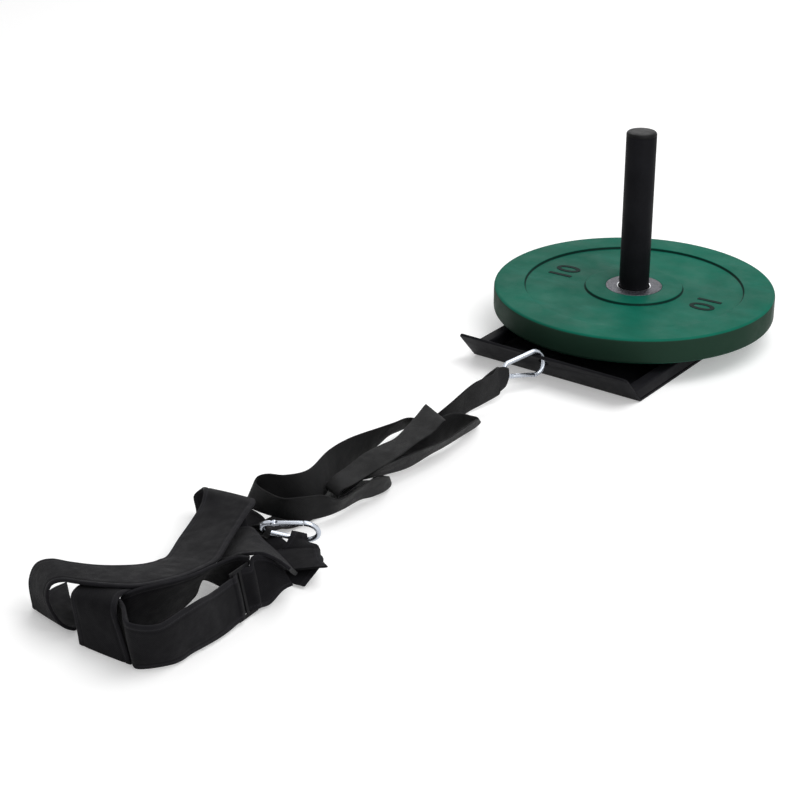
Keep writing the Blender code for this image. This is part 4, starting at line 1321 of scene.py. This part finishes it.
class DRAGSLED_OT_plate(bpy.types.Operator):
    """Model the bumper plate, its moulded numbers and its steel hub"""

    bl_idname = "drag_sled.plate"
    bl_label = "Bumper Plate"

    def execute(self, context):
        top, base = PLATE_HIGH.z, PLATE_LOW.z
        seat = HUB_FLANGE + GAP
        upper = [
            (seat, top),
            (RING_INNER - RING_SLOPE, top),
            (RING_INNER, top - RING_DEPTH),
            (RING_OUTER - RING_SLOPE, top - RING_DEPTH),
            (RING_OUTER, top),
            (RIM - RIM_ROUND, top),
            (RIM - RIM_CORNER, top - RIM_CORNER),
            (RIM, top - RIM_ROUND),
        ]
        lower = [(radius, base + top - height) for radius, height in reversed(upper)]
        flange = HUB_FLANGE_THICK
        bore = [
            (seat, base + flange + GAP),
            (HUB_WEB + GAP, base + flange + GAP),
            (HUB_WEB + GAP, top - flange - GAP),
            (seat, top - flange - GAP),
        ]
        piece = soften(rounded_edges(turned(upper + lower + bore, 160), 0.0011, 3, 20.0), 30.0)
        rubber_look = material("green_rubber_finish", rubber)
        dressed(piece, "bumper_plate", "plate", "green_rubber", rubber_look, "plate_rubber")
        self.numbers(top - RING_DEPTH)
        hub = [
            (HUB_BORE + HUB_LIP, top),
            (HUB_FLANGE, top),
            (HUB_FLANGE, top - flange),
            (HUB_WEB, top - flange),
            (HUB_WEB, base + flange),
            (HUB_FLANGE, base + flange),
            (HUB_FLANGE, base),
            (HUB_BORE + HUB_LIP, base),
            (HUB_BORE, base + HUB_LIP),
            (HUB_BORE, top - HUB_LIP),
        ]
        piece = soften(rounded_edges(turned(hub, 112), 0.0004, 3, 20.0), 30.0)
        hub_look = material("hub_steel_finish", hub_steel)
        dressed(piece, "steel_hub", "plate", "hub_steel", hub_look, "plate_hub")
        return {"FINISHED"}

    def numbers(self, height):
        """The same plain number on both sides of the hub, its top towards the rim."""
        plate = settings().plate
        made = []
        for degrees in NUMBER_TURNS:
            deselect()
            turn = math.radians(degrees)
            x, y = plate.number_radius * math.cos(turn), plate.number_radius * math.sin(turn)
            bpy.ops.object.text_add(location=(x, y, height), rotation=(0, 0, turn - math.pi / 2))
            text = bpy.context.object
            text.data.body = plate.number
            text.data.align_x = "CENTER"
            text.data.align_y = "CENTER"
            text.data.size = plate.number_size / DIGIT_SHARE
            text.data.extrude = 0.0005
            text.data.bevel_depth = 0.0002
            text.data.bevel_resolution = 1
            text.data.offset = 0.0006
            bpy.ops.object.convert(target="MESH")
            bpy.ops.object.transform_apply(location=True, rotation=True, scale=True)
            made.append(merged(bpy.context.object))
        piece = joined(made)
        look = material("number_rubber_finish", number_rubber)
        dressed(piece, "moulded_numbers", "plate", "green_rubber", look)


class DRAGSLED_OT_hooks(bpy.types.Operator):
    """Model the two snap hooks, their gates and their rivets"""

    bl_idname = "drag_sled.hooks"
    bl_label = "Snap Hooks"

    def execute(self, context):
        look = zinc_finish()
        hook_pieces("front", FRONT_HOOK, "front_hook", "front_gate", look)
        hook_pieces("harness", HARNESS_HOOK, "harness_hook", "harness_gate", look)
        return {"FINISHED"}


class DRAGSLED_OT_pull_strap(bpy.types.Operator):
    """Model the folded pull strap in one length of webbing, from one hook to the other"""

    bl_idname = "drag_sled.pull_strap"
    bl_label = "Pull Strap"

    def execute(self, context):
        at, along = FRONT_HOOK.small_end(0.0)
        widths = [36, 30, 20, 12, 9, 9, 12, 20, 31, 37]
        front = eye(at, along, FRONT_EYE_AWAY, widths, first=-1, above=0.3)
        at, along = HARNESS_HOOK.small_end(-60.0)
        widths = [26, 18, 14, 10, 8, 8, 10, 14, 18, 26]
        back = eye(at, -along, HARNESS_EYE_AWAY, widths)
        route = PULL_STRAP_START + front + PULL_STRAP_ROUTE + back + PULL_STRAP_END
        thick = settings().webbing.strap_thick
        piece, flat = ribbon("pull_strap_webbing", route, thick, steps=10, columns=8, roll=0.0009)
        look = material("black_webbing_finish", strap_webbing)
        dressed(piece, "pull_strap_webbing", "strap", "black_webbing", look, "pull_strap")
        return {"FINISHED"}


class DRAGSLED_OT_harness(bpy.types.Operator):
    """Model the shoulder harness: its padded bands, the back panel and the slider"""

    bl_idname = "drag_sled.harness"
    bl_label = "Shoulder Harness"

    def execute(self, context):
        webbing = settings().webbing
        look = material("black_padded_web_finish", padded_webbing)
        for name, route in (
            ("left_shoulder_strap", LEFT_STRAP_ROUTE),
            ("right_shoulder_strap", RIGHT_STRAP_ROUTE + woven() + RIGHT_STRAP_END),
            ("inner_shoulder_strap", INNER_STRAP_ROUTE),
            ("front_strap", FRONT_STRAP_ROUTE),
            ("cross_strap", CROSS_STRAP_ROUTE),
            ("tail_strap", TAIL_STRAP_ROUTE),
        ):
            piece, _ = ribbon(
                name + "_band",
                route,
                webbing.harness_thick,
                crown=0.0004,
                binding=webbing.binding,
                ridge=0.0002,
            )
            dressed(piece, name + "_band", "harness", "black_padded_web", look, name)
        self.panel(look)
        self.slider()
        return {"FINISHED"}

    def panel(self, look):
        """The back panel: an upper layer, the eye round the hook's arm and the lining below."""
        arm_at, arm_along = HARNESS_HOOK.arm(0.026, -1)
        widths = [44, 26, 22, 21, 20, 20, 21, 22, 26, 44]
        turn = eye(arm_at, arm_along, PANEL_EYE_AWAY, widths)
        under = layer(BACK_PANEL_ROUTE, -PANEL_SPACING / 2)
        under[0] = BACK_PANEL_LINING_END
        route = layer(BACK_PANEL_ROUTE, PANEL_SPACING / 2) + turn[1:-1] + under[::-1]
        thick = settings().webbing.panel_thick
        piece, _ = ribbon("back_panel_cover", route, thick, binding=0.006, ridge=0.0001)
        dressed(piece, "back_panel_cover", "harness", "black_padded_web", look, "back_panel")

    def slider(self):
        matrix, width = slider_frame()
        inside = width - 2 * SLIDER_WINDOW_END
        length = 3 * SLIDER_BAR + 2 * SLIDER_WINDOW
        across = width / 2 + SLIDER_SIDE
        thick = SLIDER_THICK / 2
        piece = block((-length / 2, -across, -thick), (length / 2, across, thick))
        pitch = (SLIDER_BAR + SLIDER_WINDOW) / 2
        for middle in (-pitch, pitch):
            low = (middle - SLIDER_WINDOW / 2, -inside / 2, -SLIDER_THICK)
            high = (middle + SLIDER_WINDOW / 2, inside / 2, SLIDER_THICK)
            carve(piece, block(low, high))
        piece = placed(rounded_edges(piece, 0.0009, 4, 50.0), matrix)
        soften(piece, 40.0)
        look = plastic_finish()
        dressed(piece, "slider_buckle", "harness", "black_plastic", look, "strap_slider")


class DRAGSLED_OT_stage(bpy.types.Operator):
    """Set up the plain pale floor, the soft studio lamps and the camera"""

    bl_idname = "drag_sled.stage"
    bl_label = "Stage"

    def execute(self, context):
        stage = settings().stage
        deselect()
        bpy.ops.mesh.primitive_plane_add(size=FLOOR_SIZE, location=(0.0, 0.0, -FLOOR_DROP))
        floor = bpy.context.object
        bpy.ops.object.transform_apply(location=True)
        floor.name = "studio_floor"
        floor.data.materials.append(material("studio_floor", plain_floor))
        for at, size, power in LAMPS:
            bpy.ops.object.light_add(type="AREA", location=at)
            lamp = bpy.context.object
            lamp.data.size = size
            lamp.data.energy = getattr(stage, power)
            aim = Vector(LAMP_AIM) - Vector(at)
            lamp.rotation_euler = aim.to_track_quat("-Z", "Y").to_euler()
        self.world(stage.sky)
        turn = [math.radians(degrees) for degrees in CAMERA_DEGREES]
        bpy.ops.object.camera_add(location=CAMERA_AT, rotation=turn)
        camera = bpy.context.object
        camera.data.lens = CAMERA_LENS
        camera.data.sensor_width = CAMERA_SENSOR
        camera.data.clip_end = CAMERA_REACH
        context.scene.camera = camera
        context.scene.view_settings.view_transform = "Standard"
        return {"FINISHED"}

    def world(self, strength):
        """Even light all round, white where the camera or a reflection sees it."""
        world = bpy.data.worlds.new("studio")
        bpy.context.scene.world = world
        world.use_nodes = True
        tree = world.node_tree
        path = tree.nodes.new("ShaderNodeLightPath")
        seen = tree.nodes.new("ShaderNodeMath")
        seen.operation = "MAXIMUM"
        tree.links.new(path.outputs["Is Camera Ray"], seen.inputs[0])
        tree.links.new(path.outputs["Is Glossy Ray"], seen.inputs[1])
        through = tree.nodes.new("ShaderNodeMath")
        through.operation = "MAXIMUM"
        tree.links.new(seen.outputs[0], through.inputs[0])
        tree.links.new(path.outputs["Is Transmission Ray"], through.inputs[1])
        level = tree.nodes.new("ShaderNodeMapRange")
        level.inputs["To Min"].default_value = strength
        level.inputs["To Max"].default_value = 1.0
        tree.links.new(through.outputs[0], level.inputs["Value"])
        background = tree.nodes["Background"]
        background.inputs["Color"].default_value = (1.0, 1.0, 1.0, 1.0)
        tree.links.new(level.outputs[0], background.inputs["Strength"])


class DRAGSLED_PT_panel(bpy.types.Panel):
    """The drag sled's settings and the operators that build it"""

    bl_label = "Drag Sled"
    bl_idname = "DRAGSLED_PT_panel"
    bl_space_type = "VIEW_3D"
    bl_region_type = "UI"
    bl_category = "Drag Sled"

    def draw(self, context):
        layout = self.layout
        for title in ("plate", "steel", "webbing", "stage"):
            group = getattr(context.scene.drag_sled_finish, title)
            box = layout.box()
            box.label(text=title.title())
            for key in group.bl_rna.properties.keys():
                if key not in ("rna_type", "name"):
                    box.prop(group, key)
        for operator in OPERATORS:
            layout.operator(operator.bl_idname)


OPERATORS = (
    DRAGSLED_OT_tray,
    DRAGSLED_OT_post,
    DRAGSLED_OT_plate,
    DRAGSLED_OT_hooks,
    DRAGSLED_OT_pull_strap,
    DRAGSLED_OT_harness,
    DRAGSLED_OT_stage,
)
CLASSES = (
    PlateSettings,
    SteelSettings,
    WebbingSettings,
    StageSettings,
    SledSettings,
    *OPERATORS,
    DRAGSLED_PT_panel,
)


def register():
    for each in CLASSES:
        bpy.utils.register_class(each)
    bpy.types.Scene.drag_sled_finish = bpy.props.PointerProperty(type=SledSettings)


def unregister():
    del bpy.types.Scene.drag_sled_finish
    for each in reversed(CLASSES):
        bpy.utils.unregister_class(each)


def main():
    register()
    bpy.ops.drag_sled.tray()
    bpy.ops.drag_sled.post()
    bpy.ops.drag_sled.plate()
    bpy.ops.drag_sled.hooks()
    bpy.ops.drag_sled.pull_strap()
    bpy.ops.drag_sled.harness()
    bpy.ops.drag_sled.stage()


if __name__ == "__main__":
    main()
